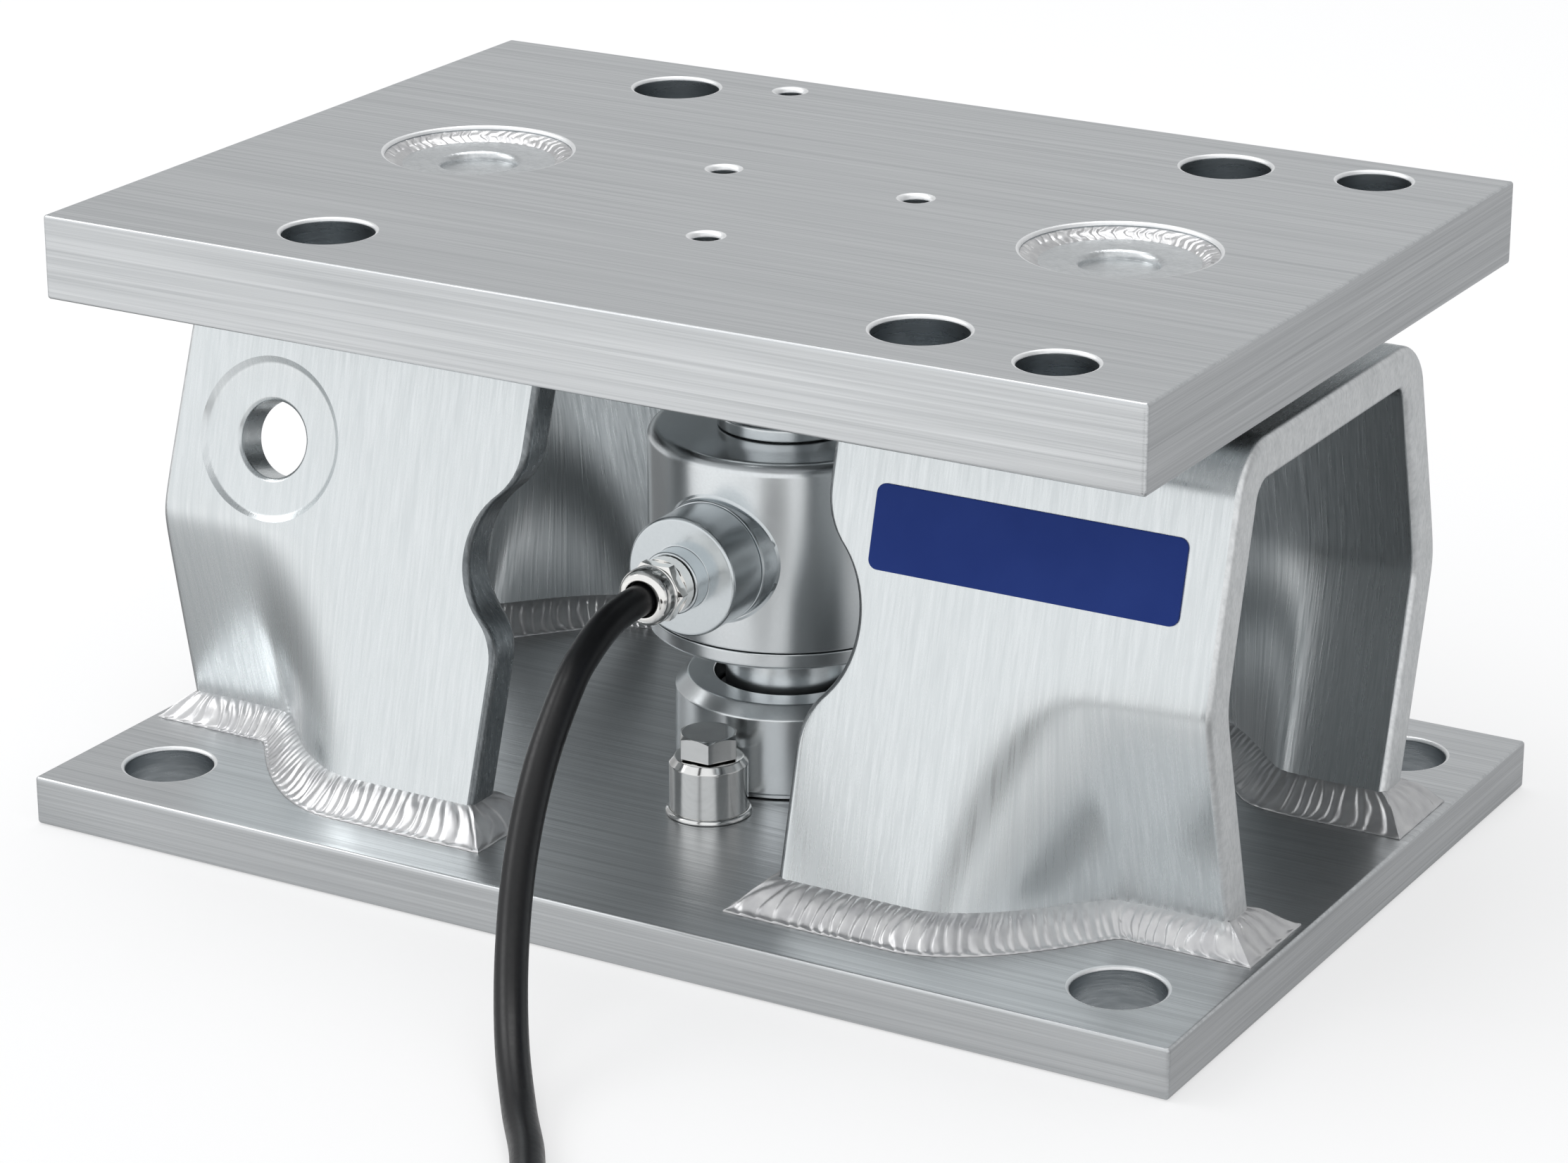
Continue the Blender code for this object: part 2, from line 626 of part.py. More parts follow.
def foot_weld(name, side_x, side_y, clearance):
    """Fillet weld all round one foot, with mitred corners; clearance is the yoke it leaves room for."""
    levels = (
        (BASE_THICK + GAP, WELD_LEG),
        (BASE_THICK + WELD_HEIGHT * 0.5, WELD_LEG * 0.5 + WELD_BULGE),
        (BASE_THICK + WELD_HEIGHT, WELD_TOP),
    )
    count = 17
    shape = bmesh.new()
    rings = []
    for i in range(count + 1):
        pairs = [weld_section(i / count, height, reach) for height, reach in levels]
        ring = [pair[0] for pair in pairs] + [pair[1] for pair in reversed(pairs)]
        rings.append([shape.verts.new((x, side_y * side_x * y, z)) for x, y, z in ring])
    for near, far in zip(rings, rings[1:]):
        for i in range(len(near)):
            j = (i + 1) % len(near)
            shape.faces.new((near[i], near[j], far[j], far[i]))
    shape.faces.new(rings[0])
    shape.faces.new(list(reversed(rings[-1])))
    bmesh.ops.recalc_face_normals(shape, faces=shape.faces)
    mesh = bpy.data.meshes.new(name)
    shape.to_mesh(mesh)
    shape.free()
    weld = place(name, mesh, WELD_METAL, rotation=(0, 0, 0 if side_x > 0 else math.pi))
    cut(weld, clearance)


def foot_welds():
    for side_x, side in ((-1, "left"), (1, "right")):
        turn = (0, 0, 0 if side_x > 0 else math.pi)
        clearance = yoke_sheet(f"yoke_{side}_clearance", YOKE_INNER_END - GAP, None, turn, GAP)
        foot_weld(f"foot_weld_{side}_front", side_x, -1, clearance)
        foot_weld(f"foot_weld_{side}_back", side_x, 1, clearance)


def hold_down(side_x, side):
    """A pin welded into the top plate, and the washer and bolt under the yoke that keep it from lifting."""
    x = side_x * PIN_X
    head_top = TOP_FACE - PIN_HEAD_DEPTH
    pin_end = YOKE_UNDERSIDE - LIFT_ROOM
    bolt_top = pin_end + BOLT_REACH
    dimple = arc(
        (PIN_DIMPLE_RADIUS + PIN_DIMPLE_ROUND, head_top - PIN_DIMPLE_ROUND), PIN_DIMPLE_ROUND, 180, 90, 2
    )
    profile = [(0, head_top - PIN_DIMPLE_DEPTH), (PIN_DIMPLE_RADIUS, head_top - PIN_DIMPLE_DEPTH)] + dimple
    profile += [(PIN_HEAD_RADIUS, head_top), (PIN_HEAD_RADIUS, TOP_UNDERSIDE), (PIN_RADIUS, TOP_UNDERSIDE)]
    profile += [(PIN_RADIUS, pin_end), (BOLT_RADIUS + GAP, pin_end), (BOLT_RADIUS + GAP, bolt_top + GAP)]
    profile += [(0, bolt_top + GAP)]
    turned(f"hold_down_pin_{side}", profile, SATIN_STEEL, (x, 0, 0), steps=MIDDLE_STEPS)

    weld_foot = head_top + GAP
    wall = PIN_HEAD_RADIUS
    weld = [
        (wall - 0.4 * MM, weld_foot + RING_WELD_HEIGHT), (wall, weld_foot + RING_WELD_HEIGHT),
        (wall, weld_foot), (wall - RING_WELD_WIDTH, weld_foot),
        (wall - RING_WELD_WIDTH * 0.5, weld_foot + RING_WELD_HEIGHT * 0.62),
    ]
    turned(f"ring_weld_{side}", weld, WELD_METAL, (x, 0, 0), steps=MIDDLE_STEPS)

    washer_top = pin_end - GAP
    washer_low = washer_top - WASHER_THICK
    washer = [
        (WASHER_RADIUS, washer_top), (WASHER_RADIUS, washer_low),
        (BOLT_RADIUS + GAP, washer_low), (BOLT_RADIUS + GAP, washer_top),
    ]
    turned(f"hold_down_washer_{side}", washer, ZINC, (x, 0, 0), steps=MIDDLE_STEPS)

    head_high = washer_low - GAP
    head_low = head_high - BOLT_HEAD_HEIGHT
    bolt = hexagon(f"hold_down_bolt_{side}", BOLT_HEAD_FLATS, head_low, head_high, ZINC, (x, 0, 0))
    shank = turned(
        f"bolt_shank_{side}",
        [
            (0, bolt_top), (BOLT_RADIUS - 0.8 * MM, bolt_top), (BOLT_RADIUS, bolt_top - 0.8 * MM),
            (BOLT_RADIUS, head_high - 1 * MM), (0, head_high - 1 * MM),
        ],
        None, (x, 0, 0), steps=16,
    )
    join(bolt, shank)


def join(piece, addition):
    boolean = piece.modifiers.new(addition.name, "BOOLEAN")
    boolean.operation = "UNION"
    boolean.solver = "EXACT"
    boolean.object = addition


def receivers():
    """Two cups that the column's domed ends rock in: the lower one on the base, the upper one under the top."""
    foot = BASE_THICK + GAP
    rim = BASE_THICK + RECEIVER_HEIGHT
    groove = foot + 1.3 * MM
    edge = RECEIVER_RADIUS - RECEIVER_CHAMFER
    lower = [
        (0, DOME_LOW - GAP), (RECEIVER_BORE, DOME_LOW - GAP), (RECEIVER_BORE, rim), (edge, rim),
        (RECEIVER_RADIUS, rim - RECEIVER_CHAMFER), (RECEIVER_RADIUS, groove),
        (RECEIVER_RADIUS - RECEIVER_GROOVE, groove - 0.3 * MM), (RECEIVER_RADIUS - RECEIVER_GROOVE, foot),
        (0, foot),
    ]
    turned("lower_receiver", lower, SATIN_STEEL)

    top = TOP_UNDERSIDE - GAP
    mouth = TOP_UNDERSIDE - RECEIVER_HEIGHT
    upper = [
        (0, TOP_UNDERSIDE + SPIGOT_LENGTH), (SPIGOT_RADIUS - 0.5 * MM, TOP_UNDERSIDE + SPIGOT_LENGTH),
        (SPIGOT_RADIUS, TOP_UNDERSIDE + SPIGOT_LENGTH - 0.5 * MM), (SPIGOT_RADIUS, top), (RECEIVER_RADIUS, top),
        (RECEIVER_RADIUS, mouth + RECEIVER_CHAMFER), (edge, mouth), (RECEIVER_BORE, mouth),
        (RECEIVER_BORE, DOME_HIGH + GAP), (0, DOME_HIGH + GAP),
    ]
    turned("upper_receiver", upper, SATIN_STEEL)


def seal_rings():
    """Rubber rings that keep dirt out of the receivers, round each end of the column."""
    inner = COLUMN_RADIUS + 0.5 * MM
    outer = inner + SEAL_WIDTH
    for name, low in (
        ("lower_seal_ring", DOME_LOW + SEAL_FOOT),
        ("upper_seal_ring", DOME_HIGH - SEAL_FOOT - SEAL_HEIGHT),
    ):
        high = low + SEAL_HEIGHT
        turned(name, [(outer, high), (outer, low), (inner, low), (inner, high)], SEAL_RUBBER)


def dome(centre_height, upwards, steps=2):
    """Points of a domed end from its axis outwards."""
    points = []
    for i in range(steps + 1):
        radius = DOME_FACE * i / steps
        drop = DOME_RADIUS - math.sqrt(DOME_RADIUS ** 2 - radius ** 2)
        points.append((radius, centre_height - drop if upwards else centre_height + drop))
    return points


def cell_column():
    """The measuring column: domed ends, a hub on top of the can and a slim waist for the gauges."""
    end = DOME_HIGH - dome_drop() - END_CHAMFER
    foot = DOME_LOW + dome_drop() + END_CHAMFER
    middle = (CAN_FOOT + CAN_TOP) / 2
    waist_top = middle + WAIST_LENGTH / 2
    waist_low = middle - WAIST_LENGTH / 2
    hub_foot = CAN_TOP + GAP
    hub_top = CAN_TOP + HUB_HEIGHT
    profile = dome(DOME_HIGH, True)
    profile += [(COLUMN_RADIUS, end), (COLUMN_RADIUS, hub_top), (HUB_RADIUS - 0.5 * MM, hub_top)]
    profile += [(HUB_RADIUS, hub_top - 0.5 * MM), (HUB_RADIUS, hub_foot), (COLUMN_RADIUS, hub_foot)]
    profile += [(COLUMN_RADIUS, waist_top + WAIST_TAPER), (WAIST_RADIUS, waist_top)]
    profile += [(WAIST_RADIUS, waist_low), (COLUMN_RADIUS, waist_low - WAIST_TAPER), (COLUMN_RADIUS, foot)]
    profile += list(reversed(dome(DOME_LOW, False)))
    turned("cell_column", profile, SATIN_STEEL)


def dome_drop():
    return DOME_RADIUS - math.sqrt(DOME_RADIUS ** 2 - DOME_FACE ** 2)


def cell_can():
    """The round can that seals the waist, its bottom cover, and the pieces inside it."""
    bore = COLUMN_RADIUS + GAP
    cover_top = CAN_FOOT + COVER_HEIGHT
    shoulder = arc((CAN_RADIUS - CAN_ROUND, CAN_TOP - CAN_ROUND), CAN_ROUND, 90, 0, 3)
    outline = [(bore, CAN_TOP)] + shoulder
    outline += [(CAN_RADIUS, cover_top + GAP), (CAN_RADIUS - CAN_WALL, cover_top + GAP)]
    outline += [(CAN_RADIUS - CAN_WALL, CAN_TOP - CAN_WALL), (bore, CAN_TOP - CAN_WALL)]
    can = turned("cell_can", outline, SATIN_STEEL)
    wire_hole = turned(
        "wire_hole", [(0, CAN_RADIUS + 5 * MM), (PORT_BORE, CAN_RADIUS + 5 * MM), (PORT_BORE, 20 * MM), (0, 20 * MM)],
        None, (0, 0, PORT_HEIGHT), (math.pi / 2, 0, math.radians(PORT_TURN)), steps=SMALL_STEPS,
    )
    cut(can, wire_hole)

    step = COVER_STEP
    cover = [
        (bore, cover_top), (CAN_RADIUS, cover_top), (CAN_RADIUS, CAN_FOOT + step), (CAN_RADIUS - step, CAN_FOOT),
        (bore, CAN_FOOT),
    ]
    turned("cell_bottom_cover", cover, SATIN_STEEL)

    board_outer = CAN_RADIUS - CAN_WALL - BOARD_RIM
    board_low = cover_top + GAP
    board_high = board_low + BOARD_THICK
    board = [
        (board_outer, board_high), (board_outer, board_low),
        (board_outer - BOARD_WIDTH, board_low), (board_outer - BOARD_WIDTH, board_high),
    ]
    turned("terminal_board", board, BOARD_GREEN, steps=MIDDLE_STEPS)

    middle = (CAN_FOOT + CAN_TOP) / 2
    near = WAIST_RADIUS + GAP
    for i in range(4):
        gauge = box(
            f"strain_gauge_{i + 1}",
            (near, -GAUGE_WIDTH / 2, middle - GAUGE_HEIGHT / 2),
            (near + GAUGE_THICK, GAUGE_WIDTH / 2, middle + GAUGE_HEIGHT / 2), GAUGE_FOIL,
        )
        turn = Matrix.Rotation(math.radians(45 + 90 * i), 4, "Z")
        gauge.matrix_world = turn @ Matrix.Translation(gauge.location)


def side_port():
    """The socket welded to the can, its cover, and the cable gland screwed into it."""
    towards_front = (math.pi / 2, 0, math.radians(PORT_TURN))
    at = (0, 0, PORT_HEIGHT)
    root = 20 * MM
    socket = turned(
        "port_socket",
        [
            (PORT_BORE, PORT_LENGTH), (PORT_RADIUS - 0.3 * MM, PORT_LENGTH), (PORT_RADIUS, PORT_LENGTH - 0.3 * MM),
            (PORT_RADIUS, PORT_LENGTH - 1 * MM), (PORT_RADIUS + PORT_FLARE, PORT_SADDLE), (PORT_RADIUS + PORT_FLARE, root),
            (PORT_BORE, root),
        ],
        SATIN_STEEL, at, towards_front,
    )
    can_room = turned(
        "can_room",
        [
            (0, CAN_TOP + 5 * MM), (CAN_RADIUS + GAP, CAN_TOP + 5 * MM),
            (CAN_RADIUS + GAP, CAN_FOOT - 5 * MM), (0, CAN_FOOT - 5 * MM),
        ],
        steps=80,
    )
    cut(socket, can_room)

    back = PORT_LENGTH + GAP
    edge = PORT_COVER_CHAMFER
    tight = CABLE_RADIUS + 1 * MM
    cover = [
        (tight, PORT_HUB_FACE), (PORT_HUB_RADIUS - 0.3 * MM, PORT_HUB_FACE), (PORT_HUB_RADIUS, PORT_HUB_FACE - 0.3 * MM),
        (PORT_HUB_RADIUS, PORT_FACE), (PORT_COVER_RADIUS - edge, PORT_FACE), (PORT_COVER_RADIUS, PORT_FACE - edge),
        (PORT_COVER_RADIUS, back), (PORT_BORE, back), (PORT_BORE, PORT_FACE - 3 * MM), (tight, PORT_FACE - 3 * MM),
    ]
    turned("port_cover", cover, SATIN_STEEL, at, towards_front)

    gland_bore = CABLE_RADIUS + GAP
    body = hexagon("gland_body", GLAND_FLATS, GLAND_HEX_START, GLAND_HEX_START + GLAND_HEX_LENGTH, NICKEL, at, towards_front)
    collar = turned(
        "gland_collar",
        [
            (0, GLAND_HEX_START + 1 * MM), (GLAND_COLLAR_RADIUS, GLAND_HEX_START + 1 * MM),
            (GLAND_COLLAR_RADIUS, GLAND_START), (0, GLAND_START),
        ],
        None, at, towards_front, steps=SMALL_STEPS,
    )
    lead_way = turned(
        "lead_way",
        [(0, GLAND_FACE), (gland_bore, GLAND_FACE), (gland_bore, GLAND_START - 5 * MM), (0, GLAND_START - 5 * MM)],
        None, at, towards_front, steps=16,
    )
    corner = GLAND_FLATS / math.sqrt(3)
    hex_face = GLAND_HEX_START + GLAND_HEX_LENGTH
    crown = turned(
        "gland_crown",
        [
            (corner + 4 * MM, hex_face + 2 * MM), (corner + 4 * MM, hex_face - 4 * GLAND_HEX_CHAMFER),
            (corner - 0.1 * MM, hex_face - GLAND_HEX_CHAMFER), (GLAND_NUT_RADIUS - 0.3 * MM, hex_face + 0.2 * MM),
            (GLAND_NUT_RADIUS - 0.3 * MM, hex_face + 2 * MM),
        ],
        None, at, towards_front, steps=MIDDLE_STEPS,
    )
    cut(body, crown)
    join(body, collar)
    cut(body, lead_way)

    rounding = GLAND_NUT_RADIUS - GLAND_MOUTH - GLAND_NUT_LIP
    crown = arc(
        (GLAND_NUT_RADIUS - rounding, GLAND_FACE - rounding), rounding, 90, 0, 4
    )
    nut = [(GLAND_MOUTH, GLAND_FACE - GLAND_NUT_LIP)] + crown
    nut += [(GLAND_NUT_RADIUS, GLAND_NUT_START), (GLAND_MOUTH, GLAND_NUT_START)]
    turned("gland_nut", nut, NICKEL, at, towards_front, steps=MIDDLE_STEPS)

    seal_outer = GLAND_MOUTH - GAP
    seal_face = GLAND_FACE - GLAND_NUT_LIP
    seal = [
        (gland_bore, seal_face), (seal_outer, seal_face), (seal_outer, GLAND_NUT_START), (gland_bore, GLAND_NUT_START),
    ]
    turned("gland_seal", seal, SEAL_RUBBER, at, towards_front, steps=SMALL_STEPS)


def earthing_post():
    at = (0, POST_Y, 0)
    foot = BASE_THICK + GAP
    high = BASE_THICK + POST_HEIGHT
    hole_low = high - SCREW_LENGTH - GAP
    ring = POST_RADIUS + POST_FOOT_RING
    profile = [
        (0, hole_low), (SCREW_RADIUS + GAP, hole_low), (SCREW_RADIUS + GAP, high), (POST_RADIUS - POST_CHAMFER * 0.75, high),
        (POST_RADIUS, high - POST_CHAMFER), (POST_RADIUS, foot + 0.6 * MM), (POST_RADIUS, foot), (0, foot),
    ]
    turned("earthing_post", profile, POLISHED_STEEL, at, steps=MIDDLE_STEPS)
    collar = [
        (POST_RADIUS + GAP, foot + 1.1 * MM), (ring, foot + 0.5 * MM), (ring, foot), (POST_RADIUS + GAP, foot),
    ]
    weld = turned("earthing_post_weld", collar, WELD_METAL, at, steps=MIDDLE_STEPS)
    receiver_room = turned(
        "receiver_room",
        [
            (0, BASE_THICK + 6 * MM), (RECEIVER_RADIUS + GAP, BASE_THICK + 6 * MM),
            (RECEIVER_RADIUS + GAP, BASE_THICK - 6 * MM), (0, BASE_THICK - 6 * MM),
        ],
        steps=80,
    )
    cut(weld, receiver_room)

    head_low = high + GAP
    head_high = head_low + SCREW_HEAD_HEIGHT
    screw = hexagon("earthing_screw", SCREW_FLATS, head_low, head_high, POLISHED_STEEL, at)
    corner = SCREW_FLATS / math.sqrt(3)
    crown = turned(
        "screw_crown",
        [
            (corner + 4 * MM, head_high + 2 * MM), (corner + 4 * MM, head_high - 3 * MM),
            (SCREW_FLATS / 2 + 2.4 * MM, head_high - 1.3 * MM), (SCREW_FLATS / 2 - 0.2 * MM, head_high + 0.2 * MM),
            (SCREW_FLATS / 2 - 0.2 * MM, head_high + 2 * MM),
        ],
        None, at, steps=48,
    )
    shank = turned(
        "screw_shank",
        [
            (0, head_low + 1 * MM), (SCREW_RADIUS, head_low + 1 * MM), (SCREW_RADIUS, high - SCREW_LENGTH + 0.8 * MM),
            (SCREW_RADIUS - 0.8 * MM, high - SCREW_LENGTH), (0, high - SCREW_LENGTH),
        ],
        None, at, steps=16,
    )
    cut(screw, crown)
    join(screw, shank)


def coil_profile(grow=0.0):
    """Section of the wound coil as (radius, height) points, a stack of rows that each lose one turn."""
    points_out, points_in = [], []
    for row in range(COIL_ROWS):
        half = (COIL_TURNS_WIDE - row) * COIL_PITCH / 2 + grow
        low = COIL_REST + row * COIL_ROW_RISE - (grow if row == 0 else 0)
        high = COIL_REST + (row + 1) * COIL_ROW_RISE
        if row == COIL_ROWS - 1:
            high = COIL_REST + row * COIL_ROW_RISE + COIL_PITCH + grow
        points_out += [(COIL_MEAN_RADIUS + half, low), (COIL_MEAN_RADIUS + half, high)]
        points_in += [(COIL_MEAN_RADIUS - half, low), (COIL_MEAN_RADIUS - half, high)]
    return list(reversed(points_out)) + points_in


def on_coil(radius, angle, height):
    turn = math.radians(angle)
    return Vector((COIL_X + radius * math.cos(turn), COIL_Y + radius * math.sin(turn), height))


def on_coil_arc(start, end, steps, height):
    """Points along the tail's arc on the coil, with short first and last steps so that its ends stand square."""
    square = 0.6
    angles = [start] + [start + square + (end - start - 2 * square) * i / steps for i in range(steps + 1)] + [end]
    return [on_coil(TAIL_RADIUS, angle, height) for angle in angles]


def coil_tie(name, angle):
    """A strap round the coil's bundle."""
    outer = coil_hull(TIE_THICK + GAP)
    inner = coil_hull(GAP)
    stand = Matrix.Rotation(math.radians(angle), 4, "Z") @ Matrix.Rotation(math.radians(90), 4, "X")
    extruded(name, [outer, inner], TIE_WIDTH, STRAP, Matrix.Translation((COIL_X, COIL_Y, 0)) @ stand)


def coil_hull(grow):
    """Four corners and the top's two round a coil's section, grown outwards; the inside stands off further,
    because a straight strap spans a hollow curve."""
    inside_room = 0.5 * MM
    low_half = COIL_TURNS_WIDE * COIL_PITCH / 2 + grow
    high_half = (COIL_TURNS_WIDE - COIL_ROWS + 1) * COIL_PITCH / 2 + grow
    shoulder = COIL_REST + COIL_ROW_RISE + grow
    low = COIL_REST - grow
    high = COIL_REST + (COIL_ROWS - 1) * COIL_ROW_RISE + COIL_PITCH + grow
    right = [(low_half, low), (low_half, shoulder), (high_half + COIL_PITCH / 2, shoulder + COIL_ROW_RISE), (high_half, high)]
    points = [(COIL_MEAN_RADIUS + u, v) for u, v in right]
    points += [(COIL_MEAN_RADIUS - u - inside_room, v) for u, v in reversed(right)]
    return points


def cable():
    tube("cable", smooth_route(CABLE_ROUTE, CABLE_STEPS), CABLE_RADIUS, BLACK_JACKET)
    turned("cable_coil", coil_profile(), BLACK_JACKET, (COIL_X, COIL_Y, 0), steps=32)
    for name, angle in TIE_ANGLES.items():
        coil_tie(name, angle)

    coil_top = COIL_REST + (COIL_ROWS - 1) * COIL_ROW_RISE + COIL_PITCH
    height = coil_top + GAP + SLEEVE_RADIUS
    apart = math.degrees(GAP / TAIL_RADIUS)
    tube("cable_tail", on_coil_arc(TAIL_START, TAIL_END, 4, height), CABLE_RADIUS, BLACK_JACKET)
    sleeve = on_coil_arc(TAIL_END + apart, SLEEVE_END, 2, height)
    tube("cable_end_sleeve", sleeve, SLEEVE_RADIUS, SEAL_RUBBER)
    start = SLEEVE_END + apart
    middle = (len(CORE_NAMES) - 1) / 2
    for i, name in enumerate(CORE_NAMES):
        spread = (i - middle) * CORE_PITCH
        points = []
        for k in range(9):
            share = k / 8
            open_out = min(share * 2.2, 1)
            open_out = open_out * open_out * (3 - 2 * open_out)
            radius = TAIL_RADIUS + spread * (0.52 + 0.48 * open_out)
            drop = (height - coil_top - GAP - CORE_RADIUS) * open_out
            points.append(on_coil(radius, start + (CORE_END - start) * share, height - drop))
        tube(name, points, CORE_RADIUS, finish(name, CORE_COLOURS[name], 0.45, 0))


base_plate()
yokes()
foot_welds()
receivers()
seal_rings()
cell_column()
cell_can()
side_port()
earthing_post()
top_plate()
for side_of_plate, side_name in ((-1, "left"), (1, "right")):
    hold_down(side_of_plate, side_name)
cable()
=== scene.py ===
import math

import bmesh
import bpy
from mathutils import Matrix, Vector


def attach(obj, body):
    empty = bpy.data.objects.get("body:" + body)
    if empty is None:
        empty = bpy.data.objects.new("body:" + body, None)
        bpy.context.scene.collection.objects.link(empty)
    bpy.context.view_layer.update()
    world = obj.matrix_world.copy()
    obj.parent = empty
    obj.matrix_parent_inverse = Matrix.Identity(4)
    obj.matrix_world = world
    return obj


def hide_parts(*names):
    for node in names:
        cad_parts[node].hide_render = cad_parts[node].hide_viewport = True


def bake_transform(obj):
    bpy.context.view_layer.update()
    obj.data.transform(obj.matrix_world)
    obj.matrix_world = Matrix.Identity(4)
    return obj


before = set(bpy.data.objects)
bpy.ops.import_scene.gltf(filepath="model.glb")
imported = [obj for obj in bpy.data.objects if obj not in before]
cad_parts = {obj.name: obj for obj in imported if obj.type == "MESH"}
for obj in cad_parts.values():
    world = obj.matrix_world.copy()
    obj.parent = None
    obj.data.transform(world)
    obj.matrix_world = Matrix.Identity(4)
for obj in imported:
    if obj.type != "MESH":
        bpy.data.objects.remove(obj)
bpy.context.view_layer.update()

# The module's frame and the picture it is seen in
# The solids of the weighing module arrive in metres, with the origin under the base plate's middle.
# The camera stands where the photograph was taken from: front right, twenty degrees above the floor.
MM = 0.001

PICTURE_WIDTH = 2227
FOCAL_LENGTH_IN_PIXELS = 6780.1
SENSOR_WIDTH = 36
CAMERA_AROUND = math.radians(29.96)
CAMERA_ABOVE = math.radians(20.084)
CAMERA_ROLL = math.radians(0.028)
CAMERA_PLACE = (0.53236, -0.92519, 0.44776)


def in_scene(name, data):
    """A new object made of the data and linked to the scene."""
    thing = bpy.data.objects.new(name, data)
    bpy.context.scene.collection.objects.link(thing)
    return thing


camera_data = bpy.data.cameras.new("camera")
camera_data.sensor_width = SENSOR_WIDTH
camera_data.lens = FOCAL_LENGTH_IN_PIXELS / PICTURE_WIDTH * SENSOR_WIDTH
camera = in_scene("camera", camera_data)
camera_back = Vector((
    math.sin(CAMERA_AROUND) * math.cos(CAMERA_ABOVE),
    -math.cos(CAMERA_AROUND) * math.cos(CAMERA_ABOVE),
    math.sin(CAMERA_ABOVE),
))
camera_right = Vector((math.cos(CAMERA_AROUND), math.sin(CAMERA_AROUND), 0))
camera_up = camera_back.cross(camera_right)
camera_turn = Matrix((camera_right, camera_up, camera_back)).transposed().to_4x4()
camera.matrix_world = Matrix.Translation(CAMERA_PLACE) @ camera_turn @ Matrix.Rotation(CAMERA_ROLL, 4, "Z")
bpy.context.scene.camera = camera
bpy.context.scene.view_settings.view_transform = "Standard"

# Cable
# A round lead of 7.4 mm with a smooth black plastic jacket over five cores. It is pushed into the load cell's
# gland, drops to the floor in one free curve, and its rest is wound into a tied coil out of the picture.
CABLE_RADIUS = 3.7 * MM
LEAD_ROUTE = (
    (-0.0010, -0.0620, 0.0734), (-0.0010, -0.0710, 0.0733), (-0.0006, -0.0800, 0.0723),
    (0.0004, -0.0900, 0.0694), (0.0018, -0.1000, 0.0648), (0.0049, -0.1167, 0.0523),
    (0.0095, -0.1320, 0.0375), (0.0168, -0.1472, 0.0230), (0.0265, -0.1626, 0.0110),
    (0.0390, -0.1793, 0.0048), (0.0515, -0.1955, 0.0038), (0.0615, -0.2130, 0.0038),
    (0.0655, -0.2340, 0.0038), (0.0610, -0.2560, 0.0038), (0.0515, -0.2770, 0.0038),
    (0.0445, -0.2980, 0.0038),
)
COIL_MIDDLE = Vector((0.116, -0.307, 0))
COIL_RADIUS = 45 * MM
COIL_ROWS = (6, 5, 4)
COIL_PITCH = 2 * CABLE_RADIUS
COIL_ROW_RISE = 6.41 * MM
COIL_FIRST_HEIGHT = 5.3 * MM
COIL_START, STEP_SECTOR = 172.8, 60.0
CROSSING_RISE = 0.9 * MM
TAIL_LEAVES, TAIL_CLIMB, TAIL_RUN = 14 * 360 + 236, 54, 8
TAIL_RADIUS = 41 * MM
TAIL_HEIGHT = 26.42 * MM


def even_route(points, steps):
    """Evenly spaced points on a smooth curve through the given ones."""
    cuts = 16
    route = [Vector(p) for p in points]
    ends = [2 * route[0] - route[1]] + route + [2 * route[-1] - route[-2]]
    fine = []
    for before, start, end, after in zip(ends, ends[1:], ends[2:], ends[3:]):
        for i in range(cuts):
            t = i / cuts
            fine.append(0.5 * (
                2 * start + (end - before) * t
                + (2 * before - 5 * start + 4 * end - after) * t * t
                + (3 * start - before - 3 * end + after) * t * t * t
            ))
    fine.append(route[-1])
    lengths = [0.0]
    for a, b in zip(fine, fine[1:]):
        lengths.append(lengths[-1] + (b - a).length)
    even, j = [], 0
    for i in range(steps + 1):
        goal = lengths[-1] * i / steps
        while j < len(fine) - 2 and lengths[j + 1] < goal:
            j += 1
        share = (goal - lengths[j]) / (lengths[j + 1] - lengths[j])
        even.append(fine[j].lerp(fine[j + 1], min(share, 1)))
    return even


def shape_piece(name, points, faces, material, smooth_to):
    """A piece from its points and faces, shaded smooth but for edges sharper than smooth_to degrees."""
    mesh = bpy.data.meshes.new(name)
    mesh.from_pydata(points, [], faces)
    mesh.materials.append(material)
    mesh.shade_smooth()
    mesh.set_sharp_from_angle(angle=math.radians(smooth_to))
    return in_scene(name, mesh)


def cord_piece(name, route, radius, material, sides):
    """A round cord along a route, with closed ends; its rings turn with the route and never twist."""
    points, faces = [], []
    across = Vector((1, 0, 0))
    for i, middle in enumerate(route):
        ahead = (route[min(i + 1, len(route) - 1)] - route[max(i - 1, 0)]).normalized()
        across = (across - ahead * across.dot(ahead)).normalized()
        over = ahead.cross(across)
        for k in range(sides):
            angle = 2 * math.pi * k / sides
            points.append(middle + (across * math.cos(angle) + over * math.sin(angle)) * radius)
    for i in range(len(route) - 1):
        for k in range(sides):
            a, b = i * sides + k, i * sides + (k + 1) % sides
            faces.append((a, b, b + sides, a + sides))
    faces.append(tuple(reversed(range(sides))))
    faces.append(tuple(range((len(route) - 1) * sides, len(route) * sides)))
    return shape_piece(name, points, faces, material, 50)


def paint(material, **values):
    """Sets values on the shader's own sockets, such as roughness or base_color."""
    shader = material.node_tree.nodes["Principled BSDF"]
    for name, value in values.items():
        shader.inputs[name.replace("_", " ").title().replace("Ior", "IOR")].default_value = value


def new_finish(name, colour, roughness, metallic):
    material = bpy.data.materials.new(name)
    material.use_nodes = True
    paint(material, base_color=(*colour, 1), roughness=roughness, metallic=metallic)
    return material


